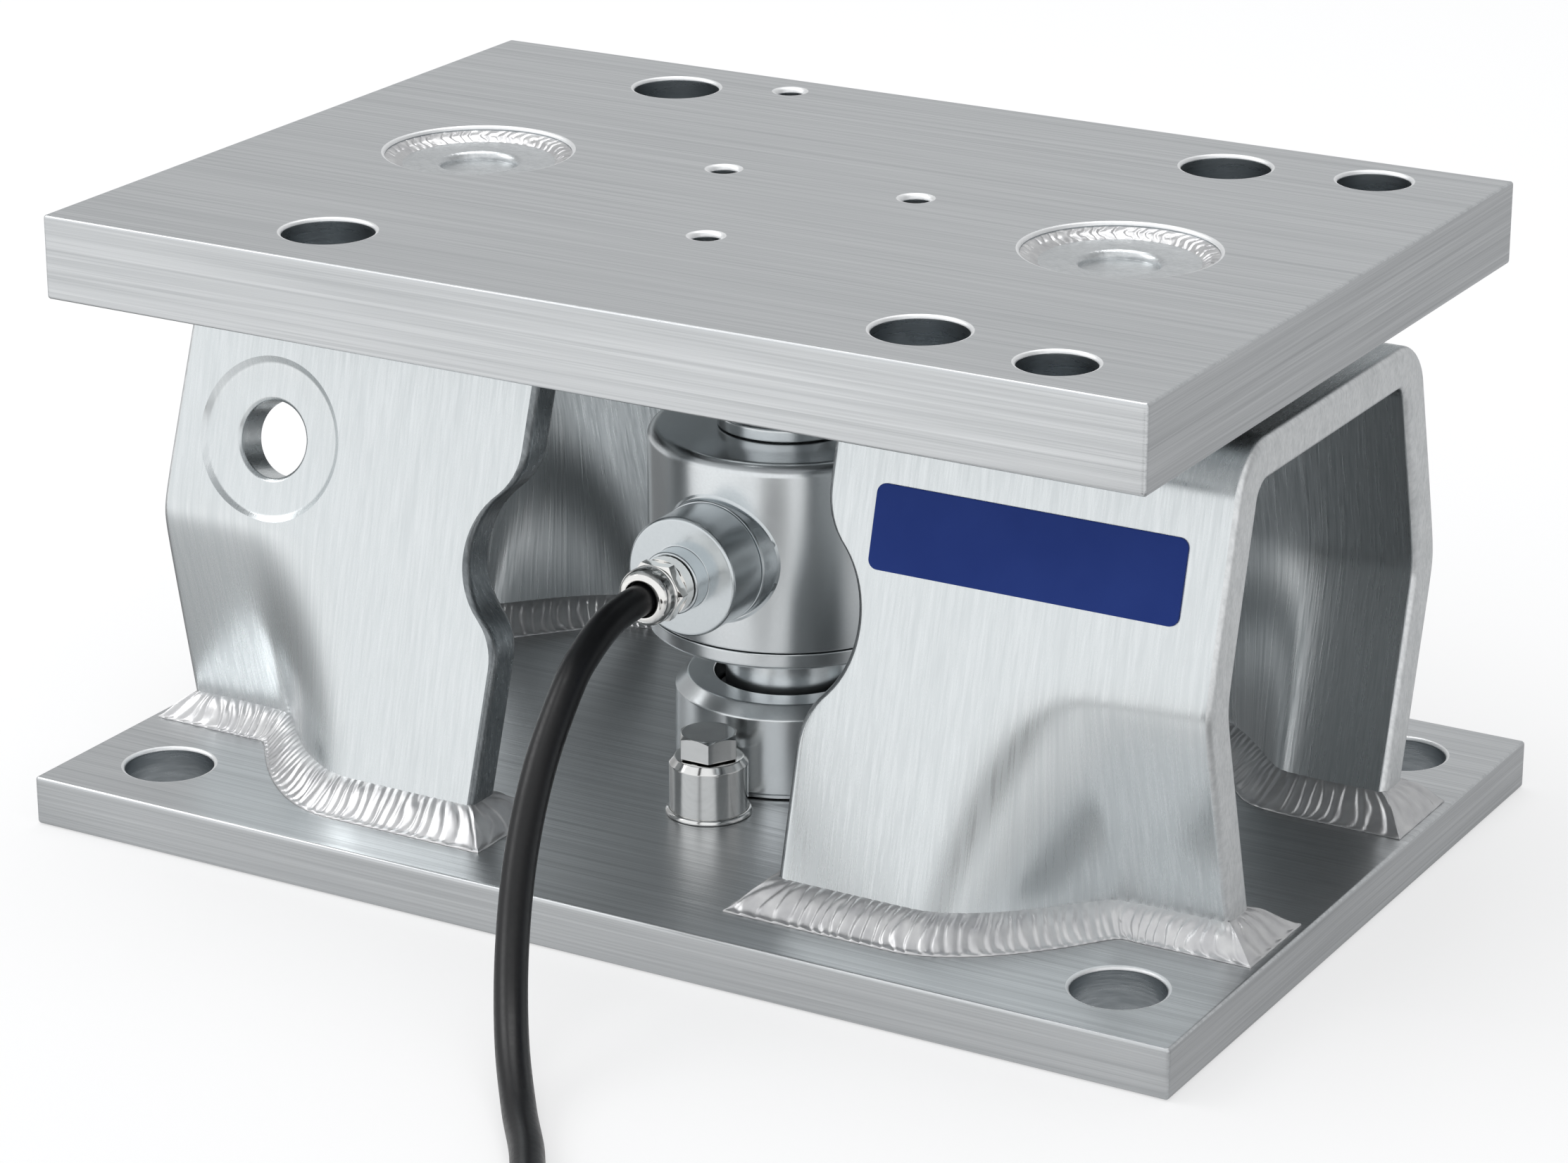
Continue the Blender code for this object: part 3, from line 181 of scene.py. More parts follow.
def stretched_noise(material, stretch, detail=3.0, rough=0.55):
    """A noise whose features are stretched by the given counts per metre along x, y and z."""
    tree = material.node_tree
    place = tree.nodes.new("ShaderNodeTexCoord")
    scale = tree.nodes.new("ShaderNodeMapping")
    scale.inputs["Scale"].default_value = stretch
    noise = tree.nodes.new("ShaderNodeTexNoise")
    noise.inputs["Scale"].default_value = 1
    noise.inputs["Detail"].default_value = detail
    noise.inputs["Roughness"].default_value = rough
    tree.links.new(place.outputs["Object"], scale.inputs["Vector"])
    tree.links.new(scale.outputs["Vector"], noise.inputs["Vector"])
    return noise.outputs["Fac"]


def remapped(material, value, low, high, from_low=0.3, from_high=0.7):
    """A value's span between from_low and from_high, stretched to run from low to high."""
    tree = material.node_tree
    node = tree.nodes.new("ShaderNodeMapRange")
    node.inputs["From Min"].default_value = from_low
    node.inputs["From Max"].default_value = from_high
    node.inputs["To Min"].default_value = low
    node.inputs["To Max"].default_value = high
    tree.links.new(value, node.inputs["Value"])
    return node.outputs["Result"]


def mixed(material, factor, under, over):
    """A colour that runs from under to over with the factor; each is a plain colour or a node's output."""
    tree = material.node_tree
    mix = tree.nodes.new("ShaderNodeMix")
    mix.data_type = "RGBA"
    for socket, colour in (("A", under), ("B", over)):
        if isinstance(colour, bpy.types.NodeSocket):
            tree.links.new(colour, mix.inputs[socket])
        else:
            mix.inputs[socket].default_value = (*colour, 1)
    tree.links.new(factor, mix.inputs["Factor"])
    return mix.outputs["Result"]


def feed(material, value, socket):
    """Lets a value drive one of the shader's own sockets."""
    material.node_tree.links.new(value, material.node_tree.nodes["Principled BSDF"].inputs[socket])


def colour_between(material, value, dark, light):
    """Base colour that runs from dark to light with the value."""
    feed(material, mixed(material, value, dark, light), "Base Color")


def roughened(material, value):
    feed(material, value, "Roughness")


def bumped(material, height, strength, depth):
    bump = material.node_tree.nodes.new("ShaderNodeBump")
    bump.inputs["Strength"].default_value = strength
    bump.inputs["Distance"].default_value = depth
    material.node_tree.links.new(height, bump.inputs["Height"])
    feed(material, bump.outputs["Normal"], "Normal")


black_jacket = new_finish("black_jacket", (0.006, 0.006, 0.007), 0.34, 0)
jacket_grain = stretched_noise(black_jacket, (900, 900, 900))
colour_between(black_jacket, jacket_grain, (0.004, 0.004, 0.005), (0.008, 0.008, 0.009))
roughened(black_jacket, remapped(black_jacket, jacket_grain, 0.28, 0.40))
paint(black_jacket, specular_ior_level=0.38)
bumped(black_jacket, jacket_grain, 0.15, 0.05 * MM)


def over_coil(radius, angle, height):
    """A place round the coil's axis, at an angle in degrees."""
    turn = math.radians(angle)
    return COIL_MIDDLE + Vector((radius * math.cos(turn), radius * math.sin(turn), height))


def coil_radius(row, turn):
    """Radius of a turn. The first and the third row are wound inwards and the second outwards."""
    outermost = (COIL_ROWS[row] - 1) / 2
    step = turn - outermost if row == 1 else outermost - turn
    return COIL_RADIUS + step * COIL_PITCH


def coil_stops():
    """Where the cable changes its course in the coil, as (angle in degrees, radius, height)."""
    lead_end = Vector(LEAD_ROUTE[-1]) - COIL_MIDDLE
    stops = [(COIL_START, math.hypot(lead_end.x, lead_end.y), LEAD_ROUTE[-1][2])]
    angle = COIL_START
    for row, turns in enumerate(COIL_ROWS):
        height = COIL_FIRST_HEIGHT + row * COIL_ROW_RISE
        for turn in range(turns):
            radius = coil_radius(row, turn)
            stops.append((angle + STEP_SECTOR, radius, height))
            angle += 360 if turn < turns - 1 else 360 - STEP_SECTOR
            stops.append((angle, radius, height))
    stops[-1] = (TAIL_LEAVES, radius, height)
    stops.append((TAIL_LEAVES + TAIL_CLIMB, TAIL_RADIUS, TAIL_HEIGHT))
    stops.append((TAIL_LEAVES + TAIL_CLIMB + TAIL_RUN, TAIL_RADIUS, TAIL_HEIGHT))
    return stops


def wound_route():
    """The coil's centreline: each turn steps over to the next in one sector, as a wound cable does, and the
    tail climbs out of the last turn beside the second strap."""
    degrees_apart = 6
    route = []
    stops = coil_stops()
    for (a0, r0, z0), (a1, r1, z1) in zip(stops, stops[1:]):
        count = max(int((a1 - a0) / degrees_apart), 1)
        crosses = r1 != r0 and COIL_FIRST_HEIGHT < z0 and z1 < TAIL_HEIGHT
        for i in range(count):
            t = i / count
            ease = t * t * (3 - 2 * t)
            over = CROSSING_RISE * math.sin(math.pi * t) if crosses else 0
            route.append(over_coil(r0 + (r1 - r0) * ease, a0 + (a1 - a0) * t, z0 + (z1 - z0) * ease + over))
    route.append(over_coil(TAIL_RADIUS, stops[-1][0], TAIL_HEIGHT))
    return route


lead_route = even_route(LEAD_ROUTE, 170)
lead = cord_piece("cable_lead", lead_route, CABLE_RADIUS, black_jacket, 28)
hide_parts("cable")
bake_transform(lead)

winding_route = wound_route()
winding = cord_piece("cable_winding", winding_route, CABLE_RADIUS, black_jacket, 14)
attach(winding, "base")
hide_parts("cable_coil", "cable_tail")

# Cable end, cores and ties
# The jacket ends in a rubber sleeve, and four plastic-covered cores and a drain wire fan out of it, ready for
# a junction box. Two flat woven straps go round the coil and keep its turns together.
SLEEVE_RADIUS = 4.3 * MM
CORE_RADIUS = 0.8 * MM
CORE_PITCH = 3.2 * MM
CORE_SQUEEZE = 0.52
SLEEVE_START, SLEEVE_END, CORE_START, CORE_END = -61.6, -42, -41.6, 8
CORE_COLOURS = {
    "core_red": (0.55, 0.02, 0.02),
    "core_white": (0.75, 0.74, 0.70),
    "core_green": (0.02, 0.28, 0.08),
    "core_black": (0.02, 0.02, 0.02),
    "core_drain": (0.62, 0.55, 0.05),
}

sleeve_rubber = new_finish("sleeve_rubber", (0.03, 0.03, 0.03), 0.6, 0)
sleeve_grain = stretched_noise(sleeve_rubber, (1500, 1500, 1500))
colour_between(sleeve_rubber, sleeve_grain, (0.02, 0.02, 0.02), (0.04, 0.04, 0.04))
bumped(sleeve_rubber, sleeve_grain, 0.3, 0.1 * MM)


def sleeve_line():
    """The sleeve's centreline, round the coil's axis."""
    steps = 12
    sector = SLEEVE_END - SLEEVE_START
    return [over_coil(TAIL_RADIUS, SLEEVE_START + sector * i / steps, TAIL_HEIGHT) for i in range(steps + 1)]


def core_line(number):
    """A core's centreline: it leaves the sleeve beside its neighbours, then opens out and sinks a little."""
    steps = 24
    sector = CORE_END - CORE_START
    line = []
    for k in range(steps + 1):
        share = k / steps
        opened = min(share * 2.2, 1)
        opened = opened * opened * (3 - 2 * opened)
        radius = TAIL_RADIUS + (number - 2) * CORE_PITCH * (CORE_SQUEEZE + (1 - CORE_SQUEEZE) * opened)
        drop = (SLEEVE_RADIUS - CORE_RADIUS) * opened
        line.append(over_coil(radius, CORE_START + sector * share, TAIL_HEIGHT - drop))
    return line


def refinish(node_name, material):
    """Gives a solid's own node a finish."""
    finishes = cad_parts[node_name].data.materials
    finishes.clear()
    finishes.append(material)


sleeve = cord_piece("cable_sleeve", sleeve_line(), SLEEVE_RADIUS, sleeve_rubber, 24)
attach(sleeve, "base")
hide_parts("cable_end_sleeve")
for number, (core_name, core_colour) in enumerate(CORE_COLOURS.items()):
    core_finish = new_finish(core_name + "_cover", core_colour, 0.42, 0)
    core_grain = stretched_noise(core_finish, (2500, 2500, 2500))
    core_dark, core_light = [0.85 * c for c in core_colour], [min(1.12 * c, 1) for c in core_colour]
    colour_between(core_finish, core_grain, core_dark, core_light)
    core = cord_piece(core_name + "_wire", core_line(number), CORE_RADIUS, core_finish, 12)
    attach(core, "base")
    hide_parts(core_name)

strap_weave = new_finish("strap_weave", (0.03, 0.03, 0.035), 0.8, 0)
weave = stretched_noise(strap_weave, (2600, 2600, 700))
colour_between(strap_weave, weave, (0.018, 0.018, 0.022), (0.05, 0.05, 0.056))
bumped(strap_weave, weave, 0.6, 0.2 * MM)
for strap_name in ("coil_tie_a", "coil_tie_b"):
    refinish(strap_name, strap_weave)

# Base plate
# A flat steel plate, 300 x 200 x 12 mm, ground with the grain along its length, its edges eased. Four bolt
# holes near its corners take the anchor bolts; everything else is welded on or stands on it.
BASE_SIZE = (300 * MM, 200 * MM, 12 * MM)
CORNERS = ((-1, -1), (1, -1), (1, 1), (-1, 1))
ARC_CORNERS = CORNERS[2:] + CORNERS[:2]
BOLT_HOLE_X, BOLT_HOLE_Y, BOLT_HOLE = 127 * MM, 77.4 * MM, 10.7 * MM
PLATE_EASE = 0.8 * MM
HOLE_EASE = 0.8 * MM
TAPPED_EASE = 1.2 * MM
POCKET_EASE, POCKET_FLARE = 0.5 * MM, 0.3 * MM
SMALL_HOLE = 4 * MM
FACE, END, BORE, EDGE = range(4)


def brushed_steel(name, dark, light, roughness, grain, depth):
    """Ground steel. grain is how many brush lines per metre show along x, y and z, and depth is theirs in
    millimetres; a second, wider set of lines lies under the fine ones."""
    wide, spread = 0.35, 0.10
    material = new_finish(name, light, roughness, 1)
    fine = stretched_noise(material, grain, 2, 0.62)
    broad = stretched_noise(material, [g * wide for g in grain], 1, 0.5)
    tree = material.node_tree
    both = tree.nodes.new("ShaderNodeMix")
    both.data_type = "FLOAT"
    both.inputs["Factor"].default_value = 0.38
    tree.links.new(fine, both.inputs["A"])
    tree.links.new(broad, both.inputs["B"])
    lines = remapped(material, both.outputs["Result"], 0, 1, 0.33, 0.67)
    colour_between(material, lines, dark, light)
    roughened(material, remapped(material, lines, roughness + spread / 2, roughness - spread / 2, 0, 1))
    bumped(material, lines, 1.0, depth * MM)
    return material


plate_along = brushed_steel(
    "plate_brushed_along", (0.52, 0.535, 0.545), (0.70, 0.715, 0.725), 0.33, (12, 1500, 1900), 0.03,
)
plate_across = brushed_steel(
    "plate_brushed_across", (0.46, 0.47, 0.48), (0.62, 0.63, 0.64), 0.35, (1700, 12, 1900), 0.03,
)
# The holes' eased rims get a brighter colour: partly the deburred metal, partly a painted highlight.
deburred_edge_painted_highlight = brushed_steel(
    "deburred_edge_painted_highlight", (0.86, 0.87, 0.875), (0.94, 0.945, 0.95), 0.46, (500, 500, 500), 0.01,
)
bore_turned = brushed_steel(
    "bore_turned", (0.34, 0.37, 0.39), (0.46, 0.49, 0.51), 0.30, (200, 200, 1600), 0.02,
)


def rim_line(low, high, ease):
    """An eased edge from the upper face round to the lower one, as (inset, height), with a short flat run
    at each end so that the faces beyond shade flat."""
    run = 0.35 * MM
    line = [(ease + run, high)]
    for i in range(4):
        angle = math.pi / 2 * i / 3
        line.append((ease * (1 - math.sin(angle)), high - ease * (1 - math.cos(angle))))
    line += [(0, high - ease - run), (0, low + ease + run)]
    for i in range(4):
        angle = math.pi / 2 * (1 - i / 3)
        line.append((ease * (1 - math.sin(angle)), low + ease * (1 - math.cos(angle))))
    line.append((ease + run, low))
    return line


def corner_loop(half_x, half_y, inset, ease):
    """A rectangle's outline with eased corners, drawn in from the nominal edge by inset, with a short
    straight run on both sides of each corner."""
    radius = max(ease - inset, 0.03 * MM)
    run = 0.5 * MM
    points = []
    for k, (sx, sy) in enumerate(ARC_CORNERS):
        middle = ((half_x - inset - radius) * sx, (half_y - inset - radius) * sy)
        before = (-math.sin(math.pi / 2 * k), math.cos(math.pi / 2 * k))
        after = (-before[1], before[0])
        arc = []
        for i in range(4):
            angle = math.pi / 2 * (k + i / 3)
            arc.append((middle[0] + radius * math.cos(angle), middle[1] + radius * math.sin(angle)))
        points.append((arc[0][0] - before[0] * run, arc[0][1] - before[1] * run))
        points += arc
        points.append((arc[-1][0] + after[0] * run, arc[-1][1] + after[1] * run))
    return points


def round_loop(x, y, radius):
    count = 72
    return [
        (x + radius * math.cos(2 * math.pi * i / count), y + radius * math.sin(2 * math.pi * i / count))
        for i in range(count)
    ]


def bore_finish(number):
    """The finish of one ring of a bore's skin: the plate's own at both ends, the bore's in its middle and the
    deburred edge's between them, whose brighter colour is a painted highlight."""
    if number in (0, 10):
        return FACE
    return BORE if number in (4, 5, 6) else EDGE


def plate_piece(name, size, low, holes, materials, pockets=()):
    """A plate with eased edges and eased round holes as (x, y, radius), and pockets in its underside as (x,
    y, radius, depth). Its materials are the faces', the ends', the bores' and the deburred edges', whose
    brighter colour is a painted highlight on the holes' eased rims."""
    half_x, half_y, high = size[0] / 2, size[1] / 2, low + size[2]
    shape = bmesh.new()
    top_edges, low_edges = [], []

    def skin(loops, finish_of):
        rings = [[shape.verts.new((x, y, z)) for x, y in loop] for z, loop in loops]
        for number, (upper, lower) in enumerate(zip(rings, rings[1:])):
            for i in range(len(upper)):
                j = (i + 1) % len(upper)
                face = shape.faces.new((upper[i], upper[j], lower[j], lower[i]))
                face.material_index = finish_of(number)
        return rings

    def edges_of(ring):
        return [shape.edges.get((a, b)) for a, b in zip(ring, ring[1:] + ring[:1])]

    outline = rim_line(low, high, PLATE_EASE)
    loops = [(z, corner_loop(half_x, half_y, inset, PLATE_EASE)) for inset, z in outline]
    rings = skin(loops, lambda number: FACE)
    top_edges += edges_of(rings[0])
    low_edges += edges_of(rings[-1])
    for x, y, radius in holes:
        rim = rim_line(low, high, TAPPED_EASE if radius < SMALL_HOLE else HOLE_EASE)
        rings = skin([(z, round_loop(x, y, radius + inset)) for inset, z in rim], bore_finish)
        top_edges += edges_of(rings[0])
        low_edges += edges_of(rings[-1])
    for x, y, radius, depth in pockets:
        line = [(radius, low + depth), (radius, low + POCKET_EASE), (radius + POCKET_FLARE, low)]
        rings = skin([(z, round_loop(x, y, r)) for r, z in line], bore_finish)
        shape.faces.new(rings[0])
        low_edges += edges_of(rings[-1])
    for edges, up in ((top_edges, 1), (low_edges, -1)):
        bmesh.ops.triangle_fill(shape, use_beauty=True, edges=edges, normal=(0, 0, up))
    bmesh.ops.recalc_face_normals(shape, faces=shape.faces)
    for face in shape.faces:
        if face.material_index == FACE and abs(face.normal.x) > 0.8:
            face.material_index = END
        face.smooth = True
    mesh = bpy.data.meshes.new(name)
    shape.to_mesh(mesh)
    shape.free()
    for material in materials:
        mesh.materials.append(material)
    mesh.set_sharp_from_angle(angle=math.radians(50))
    return in_scene(name, mesh)


base_holes = [(x * BOLT_HOLE_X, y * BOLT_HOLE_Y, BOLT_HOLE) for x, y in CORNERS]
plate_finishes = [plate_along, plate_across, bore_turned, deburred_edge_painted_highlight]
base = plate_piece("base_plate_ground", BASE_SIZE, 0, base_holes, plate_finishes)
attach(base, "base")
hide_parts("base_plate")

# Pressed yokes
# Two arches of 10 mm steel sheet, bent over a former, their feet drawn inwards at the outer end by a pressed
# dent and notched at the inner end to clear the load cell. Both are welded to the base plate.
YOKE_IN, YOKE_OUT, YOKE_WALL = 40.9 * MM, 139.5 * MM, 10 * MM
YOKE_TOP, YOKE_TOP_HALF, BEND_RADIUS = 127.5 * MM, 47.4 * MM, 15 * MM
YOKE_FOOT = 12.3 * MM
FLARE, DRAFT = 0.261, 0.278
FLARE_ANGLE = math.atan(FLARE)
KINK_HEIGHT, KINK_ROUND = 70 * MM, 3.6 * MM
DENT_START, DENT_CREASE, DENT_ARCH = 75 * MM, 111 * MM, 16 * MM
DENT_LOW = 12 * MM
DENT_BOW = 1.75
CREASE_SOFT, CREASE_SOFTER = 0.14, 0.35
RIM_ROUND = 1.9 * MM
NOTCH_PLACE = {-1: (74.4 * MM, 1.0), 1: (76 * MM, 1.16)}
NOTCH_MIDDLE, NOTCH_RADIUS, NOTCH_FILLET = 33.3 * MM, 19 * MM, 14 * MM
NOTCH_REACH, NOTCH_MEETS = 24.95 * MM, 14.36 * MM
LEAN_LOW, LEAN_SPAN = 16 * MM, 102 * MM
INNER_LEAN, OUTER_LEAN, OUTER_SHIFT = 4.1 * MM, 6.5 * MM, 2.0 * MM
PIN_X = 85.5 * MM
SPOT_X, SPOT_HEIGHT = -109 * MM, 91.3 * MM
WALL_ACROSS = YOKE_WALL / math.cos(FLARE_ANGLE)
WALL_DROP = YOKE_WALL * math.sin(FLARE_ANGLE)

pressed_steel = brushed_steel(
    "pressed_steel", (0.70, 0.735, 0.745), (0.78, 0.81, 0.82), 0.28, (2000, 400, 6), 0.012,
)
# The yoke's inside faces are painted darker than its outer faces: painted shade inside the arch.
yoke_inside_painted_shade = brushed_steel(
    "yoke_inside_painted_shade", (0.42, 0.45, 0.46), (0.58, 0.60, 0.61), 0.30, (2000, 400, 6), 0.02,
)
cut_edge = brushed_steel(
    "yoke_cut_edge", (0.64, 0.655, 0.66), (0.80, 0.81, 0.815), 0.34, (300, 1500, 700), 0.03,
)
# The notched rim is painted dark: painted shade where it faces the load cell.
painted_shade_notch_rim = brushed_steel(
    "yoke_notch_rim_painted_shade", (0.18, 0.195, 0.205), (0.30, 0.32, 0.33), 0.30, (300, 1500, 500), 0.04,
)


def leg_face(x, z):
    """Distance of a leg's outer face from the yoke's middle plane, at x along the yoke and height z. The dent
    starts softly along an arched line and ends in an upright crease."""
    below = KINK_HEIGHT - z
    fall = (below + math.hypot(below, KINK_ROUND)) / 2
    depth = (FLARE + DRAFT) * fall
    rise = min(max((z - DENT_LOW) / (KINK_HEIGHT - DENT_LOW), 0), 1)
    begins = DENT_START + (DENT_CREASE - DENT_START - DENT_ARCH) * (1 - math.sqrt(1 - rise * rise))
    soft = CREASE_SOFT + CREASE_SOFTER * rise * rise
    drawn = max((x - begins) / (DENT_CREASE - begins), 0) ** DENT_BOW
    share = (drawn + 1 - math.sqrt((drawn - 1) ** 2 + soft ** 2)) / 2 + soft ** 2 / 4
    return YOKE_TOP_HALF + FLARE * (YOKE_TOP - z) - depth * share


def notch_line(z, side):
    """Where the yoke's inner end stands at height z, bulging clear of the round load cell. The right yoke's
    notch is a little taller."""
    middle, stretch = NOTCH_PLACE[side]
    away = abs(z - middle) / stretch
    if away >= NOTCH_REACH:
        return YOKE_IN
    if away >= NOTCH_MEETS:
        return YOKE_IN + NOTCH_FILLET - math.sqrt(NOTCH_FILLET ** 2 - (NOTCH_REACH - away) ** 2)
    return NOTCH_MIDDLE + math.sqrt(NOTCH_RADIUS ** 2 - away ** 2)


def yoke_ends(kind, z, side):
    """The inner and outer end of a row of the yoke; the left yoke's ends lean towards the load cell."""
    inner = notch_line(z, side) if kind == "leg" else YOKE_IN
    if side > 0:
        return inner, YOKE_OUT
    lean = (z - LEAN_LOW) / LEAN_SPAN
    return inner - INNER_LEAN * max(lean, 0), YOKE_OUT + OUTER_SHIFT - OUTER_LEAN * lean


def yoke_rows():
    """Rows down half an arch as (kind, y or angle or height), from the middle of its top to below its foot,
    and the y at which its bend starts."""
    bend_steps, leg_steps = 14, 74
    turn = math.pi / 2 - FLARE_ANGLE
    start = YOKE_TOP_HALF - BEND_RADIUS * math.tan(turn / 2)
    rows = [("top", y) for y in (0, 10 * MM, 20 * MM, 30 * MM, start - 1 * MM)]
    rows += [("bend", turn * i / bend_steps) for i in range(bend_steps + 1)]
    leg_top = YOKE_TOP - BEND_RADIUS + BEND_RADIUS * math.sin(FLARE_ANGLE)
    leg_end = 4 * MM
    rows += [("leg", leg_top - (leg_top - leg_end) * i / leg_steps) for i in range(1, leg_steps + 1)]
    return rows, start


def yoke_point(row, start, x, depth):
    """The y and z of a point of the sheet at a depth below its outer face."""
    kind, value = row
    if kind == "top":
        return value, YOKE_TOP - depth
    if kind == "bend":
        reach = BEND_RADIUS - depth
        return start + reach * math.sin(value), YOKE_TOP - BEND_RADIUS + reach * math.cos(value)
    share = depth / YOKE_WALL
    z = value - WALL_DROP * share
    return leg_face(x, z) - WALL_ACROSS * share, z


def sheet_loop():
    """The sheet's outline in one row, as (which side, share along the face or inset from the end, depth)."""
    along, rim_steps = 110, 6
    rim = []
    for i in range(rim_steps + 1):
        angle = math.pi / 2 * i / rim_steps
        rim.append((RIM_ROUND * (1 - math.sin(angle)), RIM_ROUND * (1 - math.cos(angle))))
    wall = (2.4 * MM, 5.0 * MM, 7.6 * MM)
    loop = [("face", i / along, 0.0) for i in range(along + 1)]
    loop += [("out", inset, depth) for inset, depth in rim[1:]]
    loop += [("out", 0.0, depth) for depth in wall]
    loop += [("out", inset, YOKE_WALL - depth) for inset, depth in rim[:0:-1]]
    loop += [("face", 1 - i / along, YOKE_WALL) for i in range(along + 1)]
    loop += [("in", inset, YOKE_WALL - depth) for inset, depth in rim[1:]]
    loop += [("in", 0.0, depth) for depth in reversed(wall)]
    loop += [("in", inset, depth) for inset, depth in rim[:0:-1]]
    return loop


def yoke_piece(name, side):
    """One yoke as a closed sheet with rounded rims, mirrored about its middle and trimmed at its feet. The
    faces and the outer rim have a finish each; the inside and the notched rim are painted darker, as painted
    shade."""
    rows, start = yoke_rows()
    loop = sheet_loop()
    shape = bmesh.new()
    halves = []
    for mirror in (1, -1):
        rings = []
        for number, row in enumerate(rows):
            if mirror < 0 and number == 0:
                rings.append(halves[0][0])
                continue
            ring = []
            for where, value, depth in loop:
                height = yoke_point(row, start, YOKE_OUT, depth)[1]
                inner, outer = yoke_ends(row[0], height, side)
                face_start, face_end = inner + RIM_ROUND, outer - RIM_ROUND
                on_face = face_start + (face_end - face_start) * value
                x = {"face": on_face, "out": outer - value, "in": inner + value}[where]
                y, z = yoke_point(row, start, x, depth)
                ring.append(shape.verts.new((x, y * mirror, z)))
            rings.append(ring)
        halves.append(rings)
    finish = [{"out": 2, "in": 3}.get(where, 0 if depth == 0 else 1) for where, value, depth in loop]
    for rings in halves:
        for near, far in zip(rings, rings[1:]):
            for i in range(len(near)):
                j = (i + 1) % len(near)
                face = shape.faces.new((near[i], near[j], far[j], far[i]))
                face.material_index = min(finish[i], finish[j])
    bmesh.ops.recalc_face_normals(shape, faces=shape.faces)
    everything = shape.verts[:] + shape.edges[:] + shape.faces[:]
    trimmed = bmesh.ops.bisect_plane(
        shape, geom=everything, plane_co=(0, 0, YOKE_FOOT), plane_no=(0, 0, 1), clear_inner=True,
    )
    open_edges = [edge for edge in trimmed["geom_cut"] if isinstance(edge, bmesh.types.BMEdge)]
    bmesh.ops.edgenet_fill(shape, edges=open_edges)
    if side < 0:
        bmesh.ops.rotate(shape, verts=shape.verts, matrix=Matrix.Rotation(math.pi, 3, "Z"))
    bmesh.ops.recalc_face_normals(shape, faces=shape.faces)
    mesh = bpy.data.meshes.new(name)
    shape.to_mesh(mesh)
    shape.free()
    for material in (pressed_steel, yoke_inside_painted_shade, cut_edge, painted_shade_notch_rim):
        mesh.materials.append(material)
    mesh.shade_smooth()
    return in_scene(name, mesh)


def eased_line(profile, ease, closed):
    """A turned piece's outline with its corners rounded, as (radius, height) points. A short straight run at
    each end of a rounded corner keeps the faces beyond it flat."""
    straight = math.radians(22)
    line = []
    count = len(profile)
    for i, corner in enumerate(profile):
        here = Vector(corner)
        if not closed and i in (0, count - 1):
            line.append(here)
            continue
        back, ahead = Vector(profile[i - 1]) - here, Vector(profile[(i + 1) % count]) - here
        bend = math.pi - back.angle(ahead, math.pi)
        if bend < straight:
            line.append(here)
            continue
        cut = min(ease, 0.4 * back.length, 0.4 * ahead.length)
        a, b = here + back.normalized() * cut, here + ahead.normalized() * cut
        line.append(a + back.normalized() * min(0.3 * MM, 0.08 * back.length))
        for k in range(4):
            t = k / 3
            line.append(a * (1 - t) ** 2 + here * 2 * t * (1 - t) + b * t ** 2)
        line.append(b + ahead.normalized() * min(0.3 * MM, 0.08 * ahead.length))
    return line


def turned_mesh(name, profile, steps, ease):
    """A shape turned round the Z axis from its outline in millimetres, closed on the axis or on itself."""
    closed = profile[0][0] > 0
    line = eased_line([(radius * MM, height * MM) for radius, height in profile], ease, closed)
    points, faces, rings = [], [], []
    for radius, height in line:
        if radius < 1e-7:
            rings.append([len(points)])
            points.append((0, 0, height))
            continue
        rings.append(list(range(len(points), len(points) + steps)))
        for k in range(steps):
            angle = 2 * math.pi * k / steps
            points.append((radius * math.cos(angle), radius * math.sin(angle), height))
    pairs = list(zip(rings, rings[1:])) + ([(rings[-1], rings[0])] if closed else [])
    for upper, lower in pairs:
        for k in range(steps):
            j = (k + 1) % steps
            if len(upper) == 1:
                faces.append((upper[0], lower[k], lower[j]))
            elif len(lower) == 1:
                faces.append((upper[k], lower[0], upper[j]))
            else:
                faces.append((upper[k], lower[k], lower[j], upper[j]))
    mesh = bpy.data.meshes.new(name)
    mesh.from_pydata(points, [], faces)
    return mesh


def cutter_from(mesh, material, place):
    """A shape to be cut out of a piece, whose material the cut's own faces take."""
    mesh.materials.append(material)
    cutter = in_scene(mesh.name, mesh)
    cutter.matrix_world = place
    return cutter


def cut_away(piece, cutters):
    """Cuts other shapes out of a piece for good."""
    for cutter in cutters:
        boolean = piece.modifiers.new("cut", "BOOLEAN")
        boolean.operation = "DIFFERENCE"
        boolean.solver = "EXACT"
        boolean.object = cutter
    bpy.context.view_layer.update()
    finished = bpy.data.meshes.new_from_object(piece.evaluated_get(bpy.context.evaluated_depsgraph_get()))
    piece.modifiers.clear()
    piece.data = finished
    for cutter in cutters:
        bpy.data.objects.remove(cutter, do_unlink=True)


PIN_WAY = ((0, 131), (18, 131), (14.4, 127.1), (14.4, 118), (17, 115), (0, 115))
SPOT_LINE = (
    (0, 6), (21.0, 6), (21.0, 0.5), (19.9, 0), (18.3, -1.3), (17.6, -1.5), (10.1, -1.5), (9.2, -2.4),
    (9.2, -16), (0, -16),
)
spot_middle = (SPOT_X, -(YOKE_TOP_HALF + FLARE * (YOKE_TOP - SPOT_HEIGHT)), SPOT_HEIGHT)
leg_slope = Matrix.Rotation(math.pi / 2 - FLARE_ANGLE, 4, "X")

